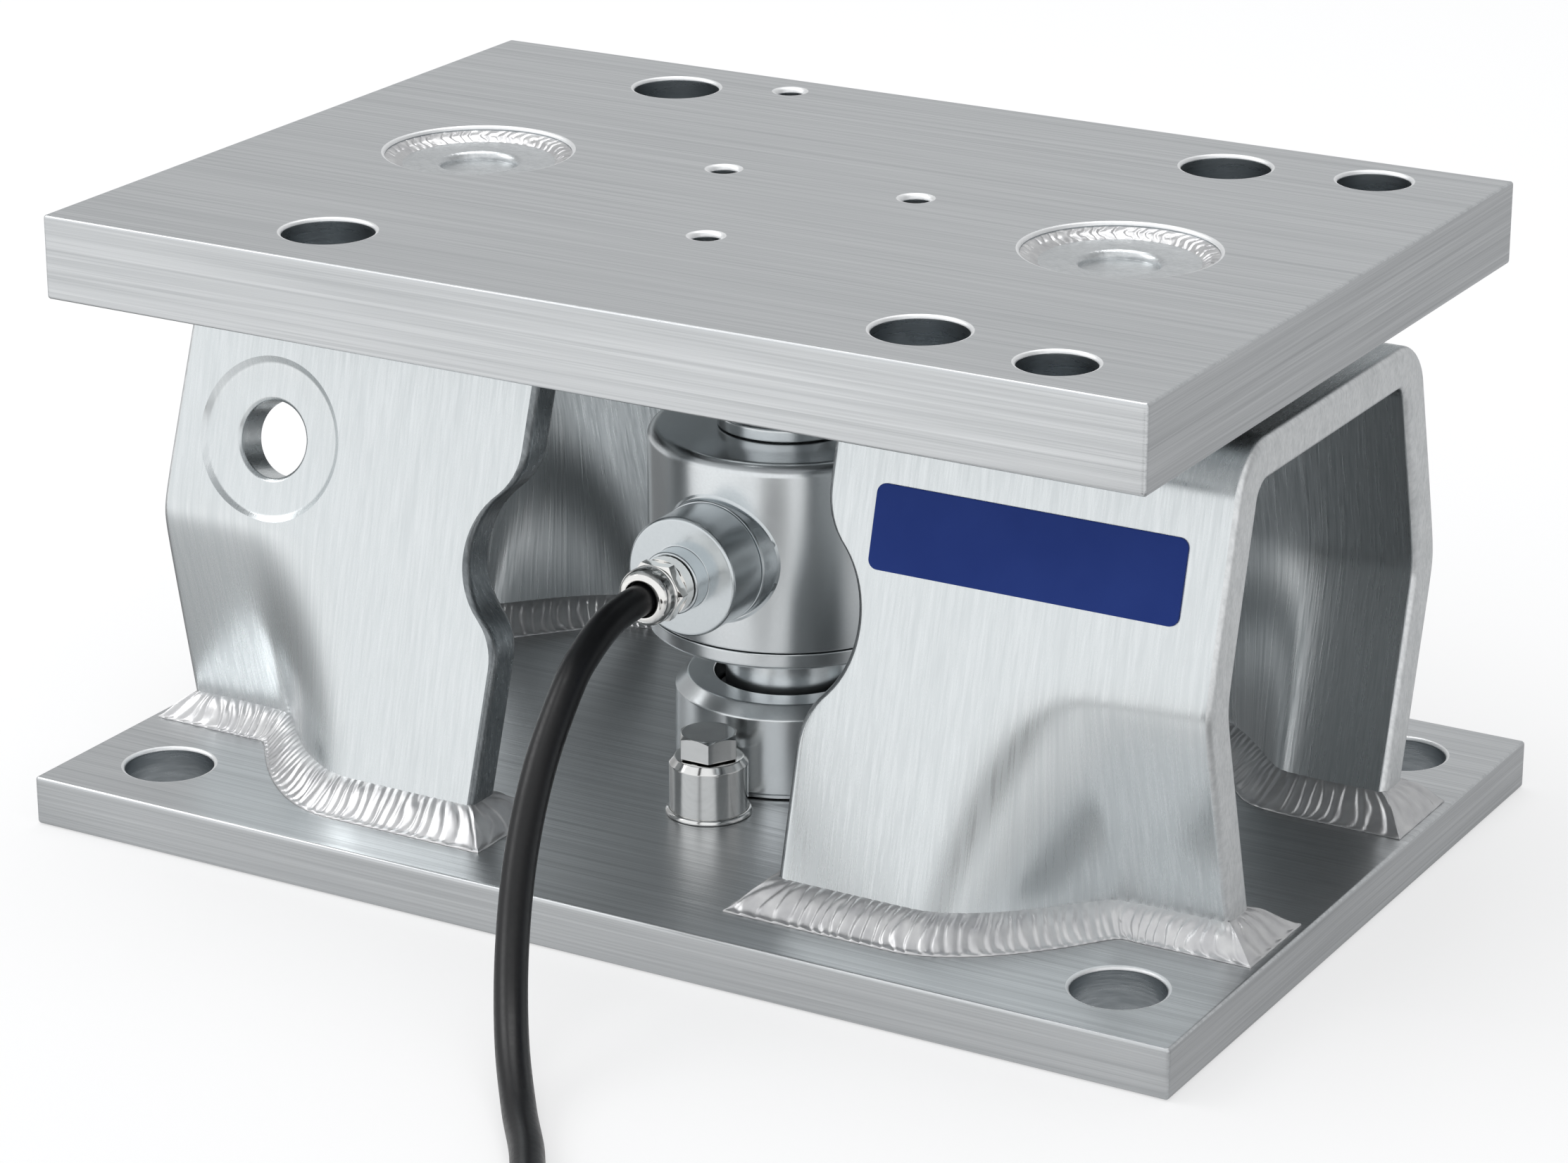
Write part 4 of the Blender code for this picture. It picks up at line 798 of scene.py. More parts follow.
for side, side_name in ((-1, "left"), (1, "right")):
    yoke = yoke_piece(f"yoke_{side_name}_pressed", side)
    pin_way = turned_mesh("pin_way", PIN_WAY, 80, 0.1 * MM)
    cutters = [cutter_from(pin_way, cut_edge, Matrix.Translation((side * PIN_X, 0, 0)))]
    if side < 0:
        spot_face = turned_mesh("spot_face", SPOT_LINE, 128, 0.35 * MM)
        cutters.append(cutter_from(spot_face, pressed_steel, Matrix.Translation(spot_middle) @ leg_slope))
    cut_away(yoke, cutters)
    yoke.data.shade_smooth()
    yoke.data.set_sharp_from_angle(angle=math.radians(38))
    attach(yoke, "base")
    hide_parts(f"yoke_{side_name}")

# Foot welds
# A fillet weld laid by hand all round each of the four feet, silver-white and left as welded. Its beads
# overlap in crescents two to three millimetres apart and meet in a mitre at the sheet's corners.
BEAD_PITCH = 2.5 * MM
BEAD_HEIGHT = 0.40 * MM
BEAD_LEAN = 0.7
WELD_LEVEL = 16 * MM
MITRE_LENGTH = 8.5 * MM
SLOPE_WINDOW = 9 * MM
WELD_SECTION = (
    (8.2, 12.05), (8.1, 12.35), (7.3, 12.6), (6.5, 13.4), (5.6, 14.3), (4.6, 15.3), (3.5, 16.3), (2.3, 17.2),
    (1.0, 18.0), (-0.4, 18.6),
)

weld_metal = new_finish("weld_metal", (0.62, 0.62, 0.63), 0.3, 0.85)
weld_fine = stretched_noise(weld_metal, (900, 900, 900), 3, 0.6)
weld_broad = stretched_noise(weld_metal, (220, 220, 220), 2, 0.5)
colour_between(weld_metal, remapped(weld_metal, weld_broad, 0, 1), (0.55, 0.55, 0.56), (0.67, 0.67, 0.67))
roughened(weld_metal, remapped(weld_metal, weld_fine, 0.29, 0.38))
bumped(weld_metal, weld_fine, 0.1, 0.03 * MM)


def waver(place):
    """A slow irregular swing between -1 and 1 along a weld, so that no two beads are alike."""
    swings = ((0.5, 517, 0.4), (0.3, 1213, 2.1), (0.2, 2741, 1.3))
    return sum(size * math.sin(place * pace + start) for size, pace, start in swings)


def bead_height(place, share):
    """Height of the beads at a place along the weld and a share of its width, each a rounded crescent."""
    bow = 0.85 * (1 - (2 * share - 1) ** 2) + 0.12 * math.sin(7 * share + 3 * waver(place * 0.7))
    phase = place / BEAD_PITCH + bow + 0.25 * waver(place)
    step = phase - math.floor(phase)
    crest = math.sin(math.pi * step ** 0.62)
    fade = min(share / 0.16, 1) * min((1 - share) / 0.12, 1)
    small = 0.09 * math.sin(2 * math.pi * (2.3 * phase + 1.2 * share + waver(place * 1.7)))
    return BEAD_HEIGHT * fade * (crest - 0.5 + small * (0.6 + 0.4 * waver(place + share * 0.01)))


def outer_foot(x):
    """The leg's outer face at the weld's level."""
    return leg_face(x, WELD_LEVEL)


def inner_foot(x):
    """The leg's inner face at the weld's level."""
    return leg_face(x, WELD_LEVEL) - WALL_ACROSS


def foot_path():
    """Places round a foot as (x, y, outward x, outward y, distance along), closed, with mitred corners."""
    side_steps, end_steps = 340, 44
    path, run = [], 0.0

    def along_face(x_from, x_to, face, outward):
        nonlocal run
        before = None
        for i in range(side_steps + 1):
            x = x_from + (x_to - x_from) * i / side_steps
            y = face(x)
            ahead, behind = min(x + SLOPE_WINDOW, YOKE_OUT), max(x - SLOPE_WINDOW, YOKE_IN)
            slope = (face(ahead) - face(behind)) / (ahead - behind)
            size = math.hypot(1, slope)
            nx, ny = -slope / size * outward, outward / size
            nx += max(1 - (YOKE_OUT - x) / MITRE_LENGTH, 0) - max(1 - (x - YOKE_IN) / MITRE_LENGTH, 0)
            if before:
                run += math.hypot(x - before[0], y - before[1])
            before = (x, y)
            path.append((x, y, nx, ny, run))

    def across_end(x, y_from, y_to, outward):
        nonlocal run
        middle, half = (y_from + y_to) / 2, abs(y_to - y_from) / 2
        for i in range(end_steps + 1):
            y = y_from + (y_to - y_from) * i / end_steps
            path.append((x, y, outward, (y - middle) / half, run + abs(y - y_from)))
        run += abs(y_to - y_from)

    along_face(YOKE_IN, YOKE_OUT, outer_foot, 1)
    across_end(YOKE_OUT, outer_foot(YOKE_OUT), inner_foot(YOKE_OUT), 1)
    along_face(YOKE_OUT, YOKE_IN, inner_foot, -1)
    across_end(YOKE_IN, inner_foot(YOKE_IN), outer_foot(YOKE_IN), -1)
    return path


def foot_weld_piece(name, side_x, side_y):
    """The beads round one foot: the weld's section carried round the foot's path, with its crescents."""
    across = 20
    points, faces = [], []
    path = foot_path()
    last = len(WELD_SECTION) - 1
    for x, y, nx, ny, run in path:
        on_leg = min(max(x, YOKE_IN), YOKE_OUT)
        for k in range(across + 1):
            share = k / across
            i = min(int(share * last), last - 1)
            (reach, height), (next_reach, next_height) = WELD_SECTION[i], WELD_SECTION[i + 1]
            part = share * last - i
            lift = bead_height(run + 0.05 * side_x + 0.02 * side_y, share) * BEAD_LEAN
            reach = (reach + (next_reach - reach) * part) * MM + lift
            height = (height + (next_height - height) * part) * MM + lift
            lean = leg_face(on_leg, height) - leg_face(on_leg, WELD_LEVEL)
            points.append((side_x * (x + nx * reach), side_y * (y + ny * reach + lean), height))
    width = across + 1
    for i in range(len(path)):
        j = (i + 1) % len(path)
        for k in range(across):
            quad = (i * width + k, j * width + k, j * width + k + 1, i * width + k + 1)
            faces.append(quad if side_x * side_y > 0 else tuple(reversed(quad)))
    return shape_piece(name, points, faces, weld_metal, 70)


for side_x, x_name in ((-1, "left"), (1, "right")):
    for side_y, y_name in ((-1, "front"), (1, "back")):
        weld = foot_weld_piece(f"foot_beads_{x_name}_{y_name}", side_x, side_y)
        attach(weld, "base")
        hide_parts(f"foot_weld_{x_name}_{y_name}")

# Label plate
# A thin blue anodised plate stuck to the right yoke's front leg. It is bare, its corners are round, and its
# eased upper edge catches a little light.
LABEL_X = (53.6 * MM, 129.2 * MM)
LABEL_Z = (88.7 * MM, 107.4 * MM)
LABEL_ROUND = 2.3 * MM
LABEL_THICK = 0.55 * MM
LABEL_RINGS = (
    (0, 0.02 * MM), (0, LABEL_THICK - 0.15 * MM), (0.05 * MM, LABEL_THICK - 0.04 * MM),
    (0.16 * MM, LABEL_THICK), (0.5 * MM, LABEL_THICK),
)

label_blue = new_finish("label_blue", (0.018, 0.046, 0.235), 0.45, 0)
label_cloud = remapped(label_blue, stretched_noise(label_blue, (60, 60, 60), 2, 0.5), 0, 1)
colour_between(label_blue, label_cloud, (0.015, 0.040, 0.215), (0.019, 0.047, 0.235))
label_grain = stretched_noise(label_blue, (1200, 1200, 1200))
roughened(label_blue, remapped(label_blue, label_grain, 0.40, 0.50))
paint(label_blue, specular_ior_level=0.12)
bumped(label_blue, label_grain, 0.08, 0.05 * MM)


def label_outline(inset):
    """The label's rounded outline in its own plane, drawn in from its edge by inset."""
    half_x = (LABEL_X[1] - LABEL_X[0]) / 2 - inset
    half_z = (LABEL_Z[1] - LABEL_Z[0]) / 2 / math.cos(FLARE_ANGLE) - inset
    radius = LABEL_ROUND - inset
    points = []
    for k, (sx, sz) in enumerate(ARC_CORNERS):
        for i in range(9):
            angle = math.pi / 2 * (k + i / 8)
            x = sx * (half_x - radius) + radius * math.cos(angle)
            z = sz * (half_z - radius) + radius * math.sin(angle)
            points.append((x, z))
    return points


def label_piece():
    """The label from its rings of (inset, height), laid against the leg's slope."""
    points, faces = [], []
    for inset, height in LABEL_RINGS:
        points += [(u, v, height) for u, v in label_outline(inset)]
    last = len(LABEL_RINGS) - 1
    count = len(points) // len(LABEL_RINGS)
    for i in range(last):
        for k in range(count):
            j = (k + 1) % count
            faces.append((i * count + k, i * count + j, (i + 1) * count + j, (i + 1) * count + k))
    faces.append(tuple(range(last * count, (last + 1) * count)))
    faces.append(tuple(reversed(range(count))))
    piece = shape_piece("label_plate", points, faces, label_blue, 40)
    before_dent = 60 * MM
    middle_z = sum(LABEL_Z) / 2
    middle = (sum(LABEL_X) / 2, -leg_face(before_dent, middle_z), middle_z)
    piece.matrix_world = Matrix.Translation(middle) @ leg_slope
    return piece


label = label_piece()
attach(label, "base")

# Lower receiver
# A turned stainless cup on the base plate in which the load cell's domed foot rocks. Its outer edge has a
# wide chamfer, and a narrow groove runs round its foot.
satin_steel = new_finish("satin_steel", (0.68, 0.71, 0.73), 0.25, 1)
satin_cloud = stretched_noise(satin_steel, (120, 120, 120), 3, 0.6)
satin_speck = stretched_noise(satin_steel, (1700, 1700, 1700), 2, 0.6)
satin_tone = remapped(satin_steel, satin_speck, 0, 1, 0.25, 0.75)
colour_between(satin_steel, satin_tone, (0.74, 0.77, 0.785), (0.79, 0.82, 0.835))
roughened(satin_steel, remapped(satin_steel, satin_cloud, 0.24, 0.26))
bumped(satin_steel, satin_speck, 0.04, 0.004 * MM)


def turned_piece(name, profile, material, body, node, at=None, steps=112, ease=0.25 * MM):
    """A turned piece, from its outline in millimetres, that stands for its solid and moves with its body."""
    mesh = turned_mesh(name, profile, steps, ease)
    mesh.materials.append(material)
    shape = bmesh.new()
    shape.from_mesh(mesh)
    bmesh.ops.recalc_face_normals(shape, faces=shape.faces)
    shape.to_mesh(mesh)
    shape.free()
    mesh.shade_smooth()
    mesh.set_sharp_from_angle(angle=math.radians(45))
    piece = in_scene(name, mesh)
    if at is not None:
        piece.matrix_world = at
    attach(piece, body)
    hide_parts(node)


turned_piece("receiver_cup_lower", [
    (0, 23.7), (17.5, 23.7), (17.5, 35.3), (23.9, 35.3), (26.9, 32.3), (26.9, 13.6), (26.3, 13.3),
    (26.3, 12.3), (0, 12.3),
], satin_steel, "base", "lower_receiver")

# Upper receiver
# The same cup upside down under the top plate, with a spigot on its back that sits in the plate's bore and
# keeps the two in line.
turned_piece("receiver_cup_upper", [
    (0, 137), (9.5, 137), (10, 136.5), (10, 131.7), (26.9, 131.7), (26.9, 111.7), (23.9, 108.7),
    (17.5, 108.7), (17.5, 120.9), (0, 120.9),
], satin_steel, "upper_receiver", "upper_receiver")

# Seal rings
# Black rubber rings round both ends of the column. They close the receivers' mouths against dirt and give
# way when the column rocks.
seal_rubber = new_finish("seal_rubber", (0.03, 0.03, 0.03), 0.55, 0)
rubber_grain = stretched_noise(seal_rubber, (1400, 1400, 1400))
colour_between(seal_rubber, rubber_grain, (0.02, 0.02, 0.02), (0.04, 0.04, 0.04))
bumped(seal_rubber, rubber_grain, 0.3, 0.1 * MM)

for seal_name, low in (("lower", 26.5), ("upper", 114.1)):
    turned_piece(f"seal_band_{seal_name}", [
        (17.0, low + 4), (17.0, low), (15.3, low), (15.3, low + 4),
    ], seal_rubber, f"{seal_name}_seal", f"{seal_name}_seal_ring", ease=0.6 * MM)

# Load cell column
# The measuring column, turned from one stainless bar: both ends are domed so that it rocks upright again, a
# hub stands on the can, and the slim waist carries the strain gauges inside.
turned_piece("column_turned", [
    (0, 120.6), (6.25, 120.27), (12.5, 119.28), (14.8, 117.7), (14.8, 101), (16.2, 101), (16.7, 100.5),
    (16.7, 97.8), (14.8, 97.8), (14.8, 89.5), (10, 84.5), (10, 60.5), (14.8, 55.5), (14.8, 26.9),
    (12.5, 25.32), (6.25, 24.33), (0, 24.0),
], satin_steel, "load_cell", "cell_column")

# Load cell can
# A drawn stainless can, 66 mm across, welded round the column so that the waist is sealed. Its shoulder is
# rounded and a thin cover with a fine seam closes it from below.
shoulder = [
    (30.1 + 3 * math.sin(math.radians(a)), 94.5 + 3 * math.cos(math.radians(a))) for a in range(0, 91, 10)
]
turned_piece("can_drawn", [(15.1, 97.5)] + shoulder + [
    (33.1, 51.7), (30.1, 51.7), (30.1, 94.5), (15.1, 94.5),
], satin_steel, "load_cell", "cell_can", steps=144)
turned_piece("can_cover_lower", [
    (15.1, 51.4), (33.1, 51.4), (33.1, 48.2), (32.4, 47.5), (15.1, 47.5),
], satin_steel, "load_cell", "cell_bottom_cover", steps=144)

# Inside the can
# Four foil strain gauges are bonded to the column's waist, and a round green circuit board behind the port
# takes their wires. Neither shows, and both are finished plainly.
gauge_foil = new_finish("gauge_foil", (0.60, 0.33, 0.10), 0.35, 1)
foil_lines = stretched_noise(gauge_foil, (2500, 2500, 300))
colour_between(gauge_foil, foil_lines, (0.48, 0.25, 0.07), (0.68, 0.40, 0.14))
bumped(gauge_foil, foil_lines, 0.2, 0.05 * MM)
board_green = new_finish("board_green", (0.03, 0.16, 0.07), 0.45, 0)
board_weave = stretched_noise(board_green, (1500, 1500, 1500))
colour_between(board_green, board_weave, (0.02, 0.12, 0.05), (0.04, 0.20, 0.09))
bumped(board_green, board_weave, 0.1, 0.05 * MM)
for number in range(1, 5):
    refinish(f"strain_gauge_{number}", gauge_foil)
refinish("terminal_board", board_green)

# Side port
# A short turned socket, welded square to the can's front, and its cover with a hub for the gland. The cover
# is pushed on and welded, so a fine joint shows between the two.
PORT_HEIGHT = 73.4 * MM
PORT_TURN = math.radians(-0.9)
CAN_RADIUS = 33.1
SOCKET_STEPS = 112
SOCKET_RINGS = (
    (8.0, 35.2, 0), (14.2, 35.2, 0), (14.45, 35.13, 0), (14.6, 34.9, 0), (14.6, 34.4, 0), (14.66, 33.4, 0),
    (15.0, 30.2, 0), (15.02, 0.15, CAN_RADIUS), (15.6, 0, CAN_RADIUS),
)

forwards = Matrix.Rotation(math.pi / 2, 4, "X")
port_place = Matrix.Translation((0, 0, PORT_HEIGHT)) @ Matrix.Rotation(PORT_TURN, 4, "Z") @ forwards

port_steel = new_finish("port_steel", (0.60, 0.64, 0.67), 0.25, 1)
port_speck = stretched_noise(port_steel, (1500, 1500, 1500), 2, 0.6)
colour_between(port_steel, remapped(port_steel, port_speck, 0, 1), (0.64, 0.68, 0.70), (0.67, 0.71, 0.73))
roughened(port_steel, remapped(port_steel, port_speck, 0.22, 0.24))
bumped(port_steel, port_speck, 0.03, 0.004 * MM)


def socket_piece():
    """The socket's barrel from rings in millimetres, as (radius, distance ahead, radius of the round wall
    that the ring follows, or 0 for a flat ring)."""
    points, faces = [], []
    for radius, ahead, wall in SOCKET_RINGS:
        for k in range(SOCKET_STEPS):
            angle = 2 * math.pi * k / SOCKET_STEPS
            x, y = radius * math.cos(angle), radius * math.sin(angle)
            root = math.sqrt(max(wall ** 2 - x ** 2, 0))
            points.append((x * MM, y * MM, (root + ahead) * MM))
    for ring in range(len(SOCKET_RINGS) - 1):
        start = ring * SOCKET_STEPS
        for k in range(SOCKET_STEPS):
            j = (k + 1) % SOCKET_STEPS
            faces.append((start + k, start + SOCKET_STEPS + k, start + SOCKET_STEPS + j, start + j))
    return shape_piece("socket_welded", points, faces, port_steel, 40)


socket = socket_piece()
socket.matrix_world = port_place
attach(socket, "load_cell")
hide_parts("port_socket")
turned_piece("port_cap", [
    (4.7, 52.4), (7.15, 52.4), (7.45, 52.1), (7.45, 47.6), (13.8, 47.6), (14.3, 47.1), (14.3, 35.5),
    (8, 35.5), (8, 44.6), (4.7, 44.6),
], port_steel, "load_cell", "port_cover", at=port_place, ease=0.2 * MM)

# Cable gland
# A small nickel-plated brass gland screwed into the port's hub: a collar, a hexagon of 13 mm and a domed
# nut, polished bright. The nut presses a rubber seal onto the cable.
GLAND_FLATS = 13 * MM

nickel_bright = new_finish("nickel_bright", (0.86, 0.85, 0.83), 0.09, 1)
nickel_haze = stretched_noise(nickel_bright, (500, 500, 500), 3, 0.6)
colour_between(nickel_bright, nickel_haze, (0.80, 0.79, 0.77), (0.92, 0.91, 0.89))
roughened(nickel_bright, remapped(nickel_bright, nickel_haze, 0.06, 0.13))
bumped(nickel_bright, nickel_haze, 0.05, 0.05 * MM)


def hexagon_outline(flats, ease):
    """A hexagon with a corner towards +X and slightly rounded corners, as (x, y) points."""
    corner = (flats / 2 - ease) / math.cos(math.pi / 6)
    points = []
    for k in range(6):
        towards = math.pi / 3 * k
        for turn in (-30, -15, 0, 15, 30):
            angle = towards + math.radians(turn)
            points.append((
                corner * math.cos(towards) + ease * math.cos(angle),
                corner * math.sin(towards) + ease * math.sin(angle),
            ))
        side_start = points[-1]
        onward = towards + math.pi / 3
        angle = onward - math.radians(30)
        side_end = (
            corner * math.cos(onward) + ease * math.cos(angle),
            corner * math.sin(onward) + ease * math.sin(angle),
        )
        for share in (0.2, 0.4, 0.6, 0.8):
            points.append(tuple(a + (b - a) * share for a, b in zip(side_start, side_end)))
    return points


def hexagon_piece(name, flats, rings, material, ease, closed=False):
    """A hexagonal piece from rings in millimetres, as ("round", radius, height) or ("hex", radius of its
    turned face, height, slope): the hexagon's rim falls away by the slope outside that radius."""
    outline = hexagon_outline(flats, ease)
    points, faces = [], []
    for kind, radius, height, *slope in rings:
        for x, y in outline:
            reach = math.hypot(x, y)
            if kind == "round":
                points.append((x / reach * radius * MM, y / reach * radius * MM, height * MM))
            else:
                points.append((x, y, height * MM - max(reach - radius * MM, 0) * slope[0]))
    count, last = len(outline), len(rings) - 1
    pairs = list(zip(range(last), range(1, last + 1))) + ([(last, 0)] if closed else [])
    for upper, lower in pairs:
        for k in range(count):
            j = (k + 1) % count
            faces.append((upper * count + k, lower * count + k, lower * count + j, upper * count + j))
    if not closed:
        faces.append(tuple(range(count)))
        faces.append(tuple(reversed(range(last * count, (last + 1) * count))))
    return shape_piece(name, points, faces, material, 24)


gland = hexagon_piece("gland_hexagon", GLAND_FLATS, [
    ("round", 4.0, 59.4), ("round", 6.2, 59.4), ("round", 6.3, 59.38), ("hex", 6.3, 59.36, 0.62),
    ("hex", 6.3, 56.1, -0.3), ("round", 6.5, 55.95), ("round", 6.9, 55.9), ("round", 6.9, 53.0),
    ("round", 6.7, 52.7), ("round", 4.0, 52.7),
], nickel_bright, 0.3 * MM, closed=True)
gland.matrix_world = port_place
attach(gland, "load_cell")
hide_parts("gland_body")

nut_dome = [
    (4.6 + 2.2 * math.sin(math.radians(a)), 62.3 + 2.6 * math.cos(math.radians(a))) for a in range(0, 91, 10)
]
turned_piece("gland_nut_domed", [(5.1, 63.4), (4.15, 63.4), (4.15, 64.4), (4.3, 64.8)] + nut_dome + [
    (6.8, 60.9), (6.45, 60.6), (6.45, 60.2), (6.8, 59.9), (6.6, 59.7), (5.1, 59.7),
], nickel_bright, "load_cell", "gland_nut", at=port_place, ease=0.15 * MM)
turned_piece("gland_seal_ring", [
    (4.0, 63.1), (4.8, 63.1), (4.8, 59.7), (4.0, 59.7),
], seal_rubber, "load_cell", "gland_seal", at=port_place, ease=0.2 * MM)

# Earthing post and screw
# A polished stainless post welded to the base plate in front of the load cell, with a narrow ring of weld at
# its foot. The M8 hexagon screw on it holds the earthing strap.
SCREW_FLATS = 13 * MM
post_place = Matrix.Translation((0, -36.9 * MM, 0))

polished_steel = new_finish("polished_steel", (0.78, 0.78, 0.77), 0.12, 1)
polish_lines = stretched_noise(polished_steel, (300, 300, 900), 3, 0.6)
colour_between(polished_steel, polish_lines, (0.72, 0.72, 0.71), (0.84, 0.84, 0.83))
roughened(polished_steel, remapped(polished_steel, polish_lines, 0.09, 0.16))
bumped(polished_steel, polish_lines, 0.06, 0.05 * MM)

turned_piece("post_turned", [
    (0, 16.2), (4.3, 16.2), (4.3, 26), (8.1, 26), (9.36, 24.4), (9.36, 12.3), (0, 12.3),
], polished_steel, "base", "earthing_post", at=post_place, ease=0.15 * MM)
turned_piece("post_weld_ring", [
    (9.4, 13.3), (9.9, 13.1), (10.3, 12.6), (10.35, 12.1), (9.4, 12.1),
], polished_steel, "base", "earthing_post_weld", at=post_place, ease=0.3 * MM)
screw = hexagon_piece("screw_hexagon", SCREW_FLATS, [
    ("round", 6.1, 31.8), ("round", 6.35, 31.8), ("round", 6.45, 31.77), ("hex", 6.45, 31.72, 0.577),
    ("hex", 6.5, 26.42, 0), ("round", 6.45, 26.3), ("round", 4, 26.3), ("round", 4, 16.8), ("round", 3.2, 16),
], polished_steel, 0.22 * MM)
screw.matrix_world = post_place
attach(screw, "base")
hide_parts("earthing_screw")

# Top plate
# The plate that carries the tank's foot: 280 x 196 x 20 mm, ground along its length like the base plate. Four
# large holes, two smaller ones at its right end and four tapped ones take the customer's bolts.
TOP_SIZE = (280 * MM, 196 * MM, 20 * MM)
TOP_LOW = 132 * MM
TOP_HOLE_REACH = 76 * MM
END_HOLE_X, END_HOLE_Y, END_HOLE = 111.4 * MM, 82 * MM, 8.7 * MM
TAPPED_HOLE = 3.4 * MM
TAPPED_PLACES = ((-25.8, 14.6), (25.8, 14.6), (0, -36.8), (-49.3, 86.9))
PIN_SEAT = 22.5 * MM
SPIGOT_BORE, SPIGOT_DEPTH = 10.3 * MM, 5.3 * MM

top_holes = [(x * TOP_HOLE_REACH, y * TOP_HOLE_REACH, BOLT_HOLE) for x, y in CORNERS]
top_holes += [(END_HOLE_X, y * END_HOLE_Y, END_HOLE) for y in (-1, 1)]
top_holes += [(x * MM, y * MM, TAPPED_HOLE) for x, y in TAPPED_PLACES]
top_holes += [(side * PIN_X, 0, PIN_SEAT) for side in (-1, 1)]
top = plate_piece(
    "top_plate_ground", TOP_SIZE, TOP_LOW, top_holes, plate_finishes,
    pockets=[(0, 0, SPIGOT_BORE, SPIGOT_DEPTH)],
)
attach(top, "top_plate")
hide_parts("top_plate")

# Hold-down pins
# Turned steel pins set into round seats in the top plate and welded there with a ring of small beads. Their
# shanks pass through the yokes, where a zinc-plated washer and bolt below keep the plate from lifting.
BOLT_FLATS = 18 * MM
RING_MIDDLE = 20.4 * MM
RING_INNER, RING_WIDTH = 18.2 * MM, 4.27 * MM
RING_LOW, RING_RISE, RING_CROWN = 149.02 * MM, 1.95 * MM, 0.35 * MM
RING_BEAD_PITCH, RING_BEAD_HEIGHT = 2.7 * MM, 0.30 * MM

disc_brushed = brushed_steel(
    "disc_brushed", (0.55, 0.57, 0.58), (0.70, 0.72, 0.73), 0.33, (700, 1200, 1200), 0.04,
)
zinc_plated = new_finish("zinc_plated", (0.55, 0.56, 0.56), 0.35, 1)
zinc_cloud = stretched_noise(zinc_plated, (400, 400, 400), 3, 0.6)
colour_between(zinc_plated, zinc_cloud, (0.46, 0.47, 0.48), (0.62, 0.63, 0.64))
bumped(zinc_plated, zinc_cloud, 0.1, 0.05 * MM)


def ring_beads(name, at_x):
    """The ring weld in a pin's seat, its beads meeting in chevrons halfway up."""
    around, across = 560, 14
    points, faces = [], []
    for i in range(around):
        angle = 2 * math.pi * i / around
        run = angle * RING_MIDDLE
        for k in range(across + 1):
            share = k / across
            chevron = 0.75 * abs(2 * share - 0.95)
            phase = run / RING_BEAD_PITCH + chevron + 0.4 * waver(run + at_x)
            step = phase - math.floor(phase)
            fade = min(share / 0.12, 1) * min((1 - share) / 0.12, 1)
            lift = RING_BEAD_HEIGHT * fade * (math.sin(math.pi * step ** 0.6) - 0.45)
            radius = RING_INNER + RING_WIDTH * share - lift * 0.5
            height = RING_LOW + RING_RISE * share ** 1.25 + RING_CROWN * math.sin(math.pi * share) + lift
            points.append((radius * math.cos(angle) + at_x, radius * math.sin(angle), height))
    width = across + 1
    for i in range(around):
        j = (i + 1) % around
        for k in range(across):
            faces.append((i * width + k, i * width + k + 1, j * width + k + 1, j * width + k))
    return shape_piece(name, points, faces, weld_metal, 70)


pin_lip = [
    (10.8 - 1.8 * math.cos(math.radians(a)), 147.3 + 1.8 * math.sin(math.radians(a)))
    for a in range(0, 91, 15)
]
for side, side_name in ((-1, "left"), (1, "right")):
    pin_place = Matrix.Translation((side * PIN_X, 0, 0))
    turned_piece(f"pin_{side_name}_turned", [(0, 147.1), (9, 147.1)] + pin_lip + [
        (22.2, 149.1), (22.2, 132), (10, 132), (10, 114.5), (6.3, 114.5), (6.3, 128.8), (0, 128.8),
    ], disc_brushed, "top_plate", f"hold_down_pin_{side_name}", at=pin_place)
    beads = ring_beads(f"ring_beads_{side_name}", side * PIN_X)
    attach(beads, "top_plate")
    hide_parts(f"ring_weld_{side_name}")
    turned_piece(f"washer_{side_name}_plated", [
        (20.5, 114.2), (20.5, 110.2), (6.3, 110.2), (6.3, 114.2),
    ], zinc_plated, "top_plate", f"hold_down_washer_{side_name}", at=pin_place, ease=0.5 * MM)
    bolt = hexagon_piece(f"bolt_{side_name}_plated", BOLT_FLATS, [
        ("round", 6, 128), ("round", 6, 109.9), ("round", 8.8, 109.9), ("hex", 9, 109.8, 0),
        ("hex", 9, 102.55, -0.5), ("round", 8.7, 102.4),
    ], zinc_plated, 0.3 * MM)
    bolt.matrix_world = pin_place
    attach(bolt, "top_plate")
    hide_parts(f"hold_down_bolt_{side_name}")

# Floor and light
# The module stands on a plain white floor under soft studio light, brightest from the front left. The floor
# keeps a soft shadow. Seen in the metal, the floor's colour is painted: pale in front, darker behind, with
# two patches of painted shade beside the module, so that the mirrored surroundings grow darker to the right
# and behind.
FLOOR_HALF = 9
FLOOR_DROP = 0.2 * MM
FLOOR_GLOW = 0.56
PAINTED_SHADE_PATCHES = (((-0.31, 0.05, 0), 0.12, 0.18), ((0.29, -0.16, 0), 0.08, 0.25))
SKY_TONES = ((0.08, 0.64), (0.38, 0.42), (0.71, 1.0), (0.90, 1.02))

floor_white = new_finish("floor_white", (0.86, 0.86, 0.87), 0.9, 0)
paint(floor_white, specular_ior_level=0.1)
floor_tree = floor_white.node_tree
floor_place = floor_tree.nodes.new("ShaderNodeTexCoord").outputs["Object"]
rays = floor_tree.nodes.new("ShaderNodeLightPath")
to_camera, to_metal = rays.outputs["Is Camera Ray"], rays.outputs["Is Glossy Ray"]


def measured(tree, operation, place, other):
    """A place's distance from another, or its dot product with a direction."""
    node = tree.nodes.new("ShaderNodeVectorMath")
    node.operation = operation
    node.inputs[1].default_value = other
    tree.links.new(place, node.inputs[0])
    return node.outputs["Value"]


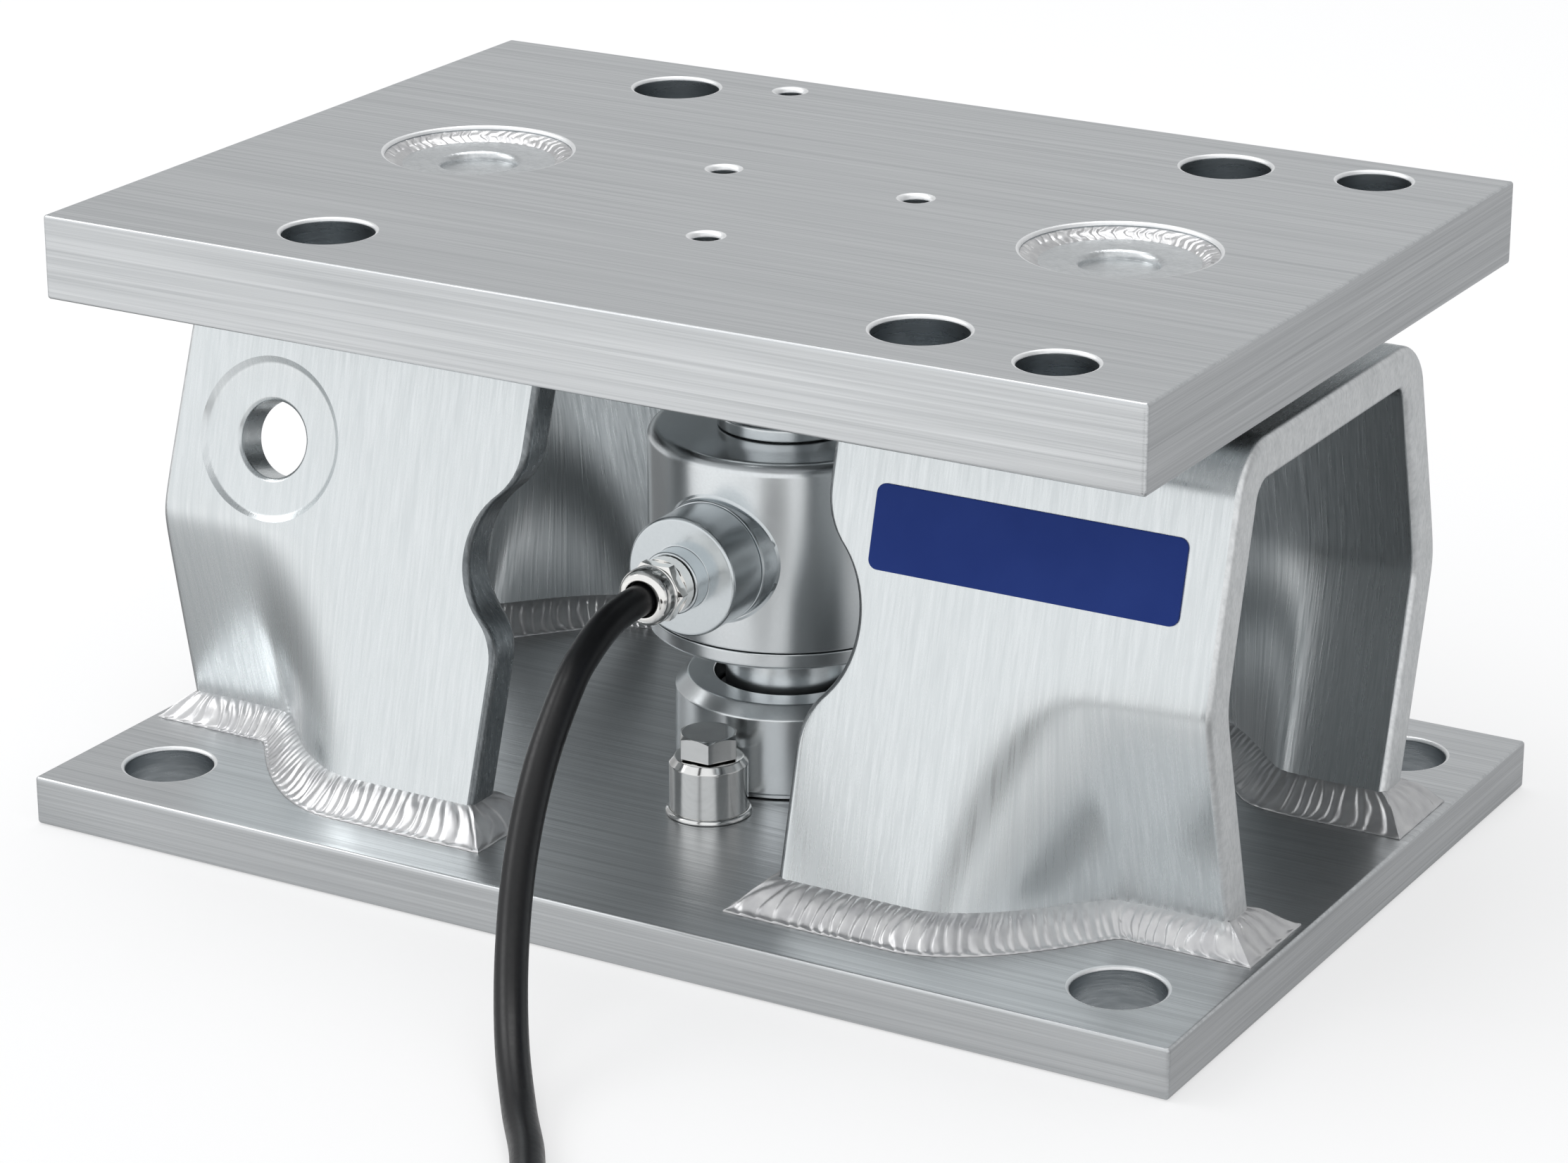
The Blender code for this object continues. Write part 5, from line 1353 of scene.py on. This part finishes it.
# Painted shade in reflections: for all but camera rays the floor runs from grey at the back to white in
# front, and darkens in the patches.
towards_front = measured(floor_tree, "DOT_PRODUCT", floor_place, (0, -1, 0))
nearness = remapped(floor_white, towards_front, 0, 1, 0.05, 0.28)
mirrored = mixed(floor_white, nearness, (0.60, 0.605, 0.61), (1, 1, 1))
for patch_middle, reach, shade in PAINTED_SHADE_PATCHES:
    away = measured(floor_tree, "DISTANCE", floor_place, patch_middle)
    inside = remapped(floor_white, away, 1, 0, reach, reach * 2)
    mirrored = mixed(floor_white, inside, mirrored, (shade, shade * 1.02, shade * 1.03))
feed(floor_white, mixed(floor_white, to_camera, mirrored, (0.96, 0.96, 0.965)), "Base Color")

glow = floor_tree.nodes.new("ShaderNodeEmission")
glow.inputs["Strength"].default_value = 1
floor_tree.links.new(mixed(floor_white, to_camera, mirrored, (1, 1, 1)), glow.inputs["Color"])
either = floor_tree.nodes.new("ShaderNodeMath")
either.operation = "MAXIMUM"
floor_tree.links.new(to_camera, either.inputs[0])
floor_tree.links.new(to_metal, either.inputs[1])
lifted = floor_tree.nodes.new("ShaderNodeMath")
lifted.operation = "MULTIPLY"
lifted.inputs[1].default_value = FLOOR_GLOW
floor_tree.links.new(either.outputs[0], lifted.inputs[0])
lit_floor = floor_tree.nodes.new("ShaderNodeMixShader")
floor_tree.links.new(lifted.outputs[0], lit_floor.inputs["Fac"])
floor_tree.links.new(floor_tree.nodes["Principled BSDF"].outputs["BSDF"], lit_floor.inputs[1])
floor_tree.links.new(glow.outputs["Emission"], lit_floor.inputs[2])
floor_tree.links.new(lit_floor.outputs["Shader"], floor_tree.nodes["Material Output"].inputs["Surface"])

floor_mesh = bpy.data.meshes.new("floor")
floor_corners = [(x * FLOOR_HALF, y * FLOOR_HALF, 0) for x, y in CORNERS]
floor_mesh.from_pydata(floor_corners, [], [(0, 1, 2, 3)])
floor_mesh.materials.append(floor_white)
floor = in_scene("floor", floor_mesh)
floor.location.z = -FLOOR_DROP

world = bpy.data.worlds.new("studio")
bpy.context.scene.world = world
world.use_nodes = True
sky = world.node_tree
direction = sky.nodes.new("ShaderNodeTexCoord").outputs["Generated"]
facing = remapped(world, measured(sky, "DOT_PRODUCT", direction, (-0.04, -1, 0.04)), 0, 1, -1, 1)
tone = sky.nodes.new("ShaderNodeValToRGB")
tone.color_ramp.interpolation = "EASE"
for share, grey in SKY_TONES[1:-1]:
    tone.color_ramp.elements.new(share)
for stop, (share, grey) in zip(tone.color_ramp.elements, SKY_TONES):
    stop.position = share
    stop.color = (grey, grey * 1.01, grey * 1.02, 1)
sky.links.new(facing, tone.inputs["Fac"])
sky.links.new(tone.outputs["Color"], sky.nodes["Background"].inputs["Color"])
sky.nodes["Background"].inputs["Strength"].default_value = 0.98


def soft_box(name, place, target, size, power):
    """A large soft lamp aimed at the module."""
    lamp_data = bpy.data.lights.new(name, "AREA")
    lamp_data.shape = "RECTANGLE"
    lamp_data.size, lamp_data.size_y = size
    lamp_data.energy = power
    lamp = in_scene(name, lamp_data)
    lamp.location = place
    lamp.rotation_mode = "QUATERNION"
    lamp.rotation_quaternion = (Vector(target) - Vector(place)).to_track_quat("-Z", "Y")


soft_box("front_left_box", (-1.5, -0.4, 1.5), (0, 0, 0.07), (1.1, 0.9), 8)
soft_box("overhead_box", (-0.2, 0.3, 1.7), (0, 0, 0.1), (1.2, 1.0), 9)
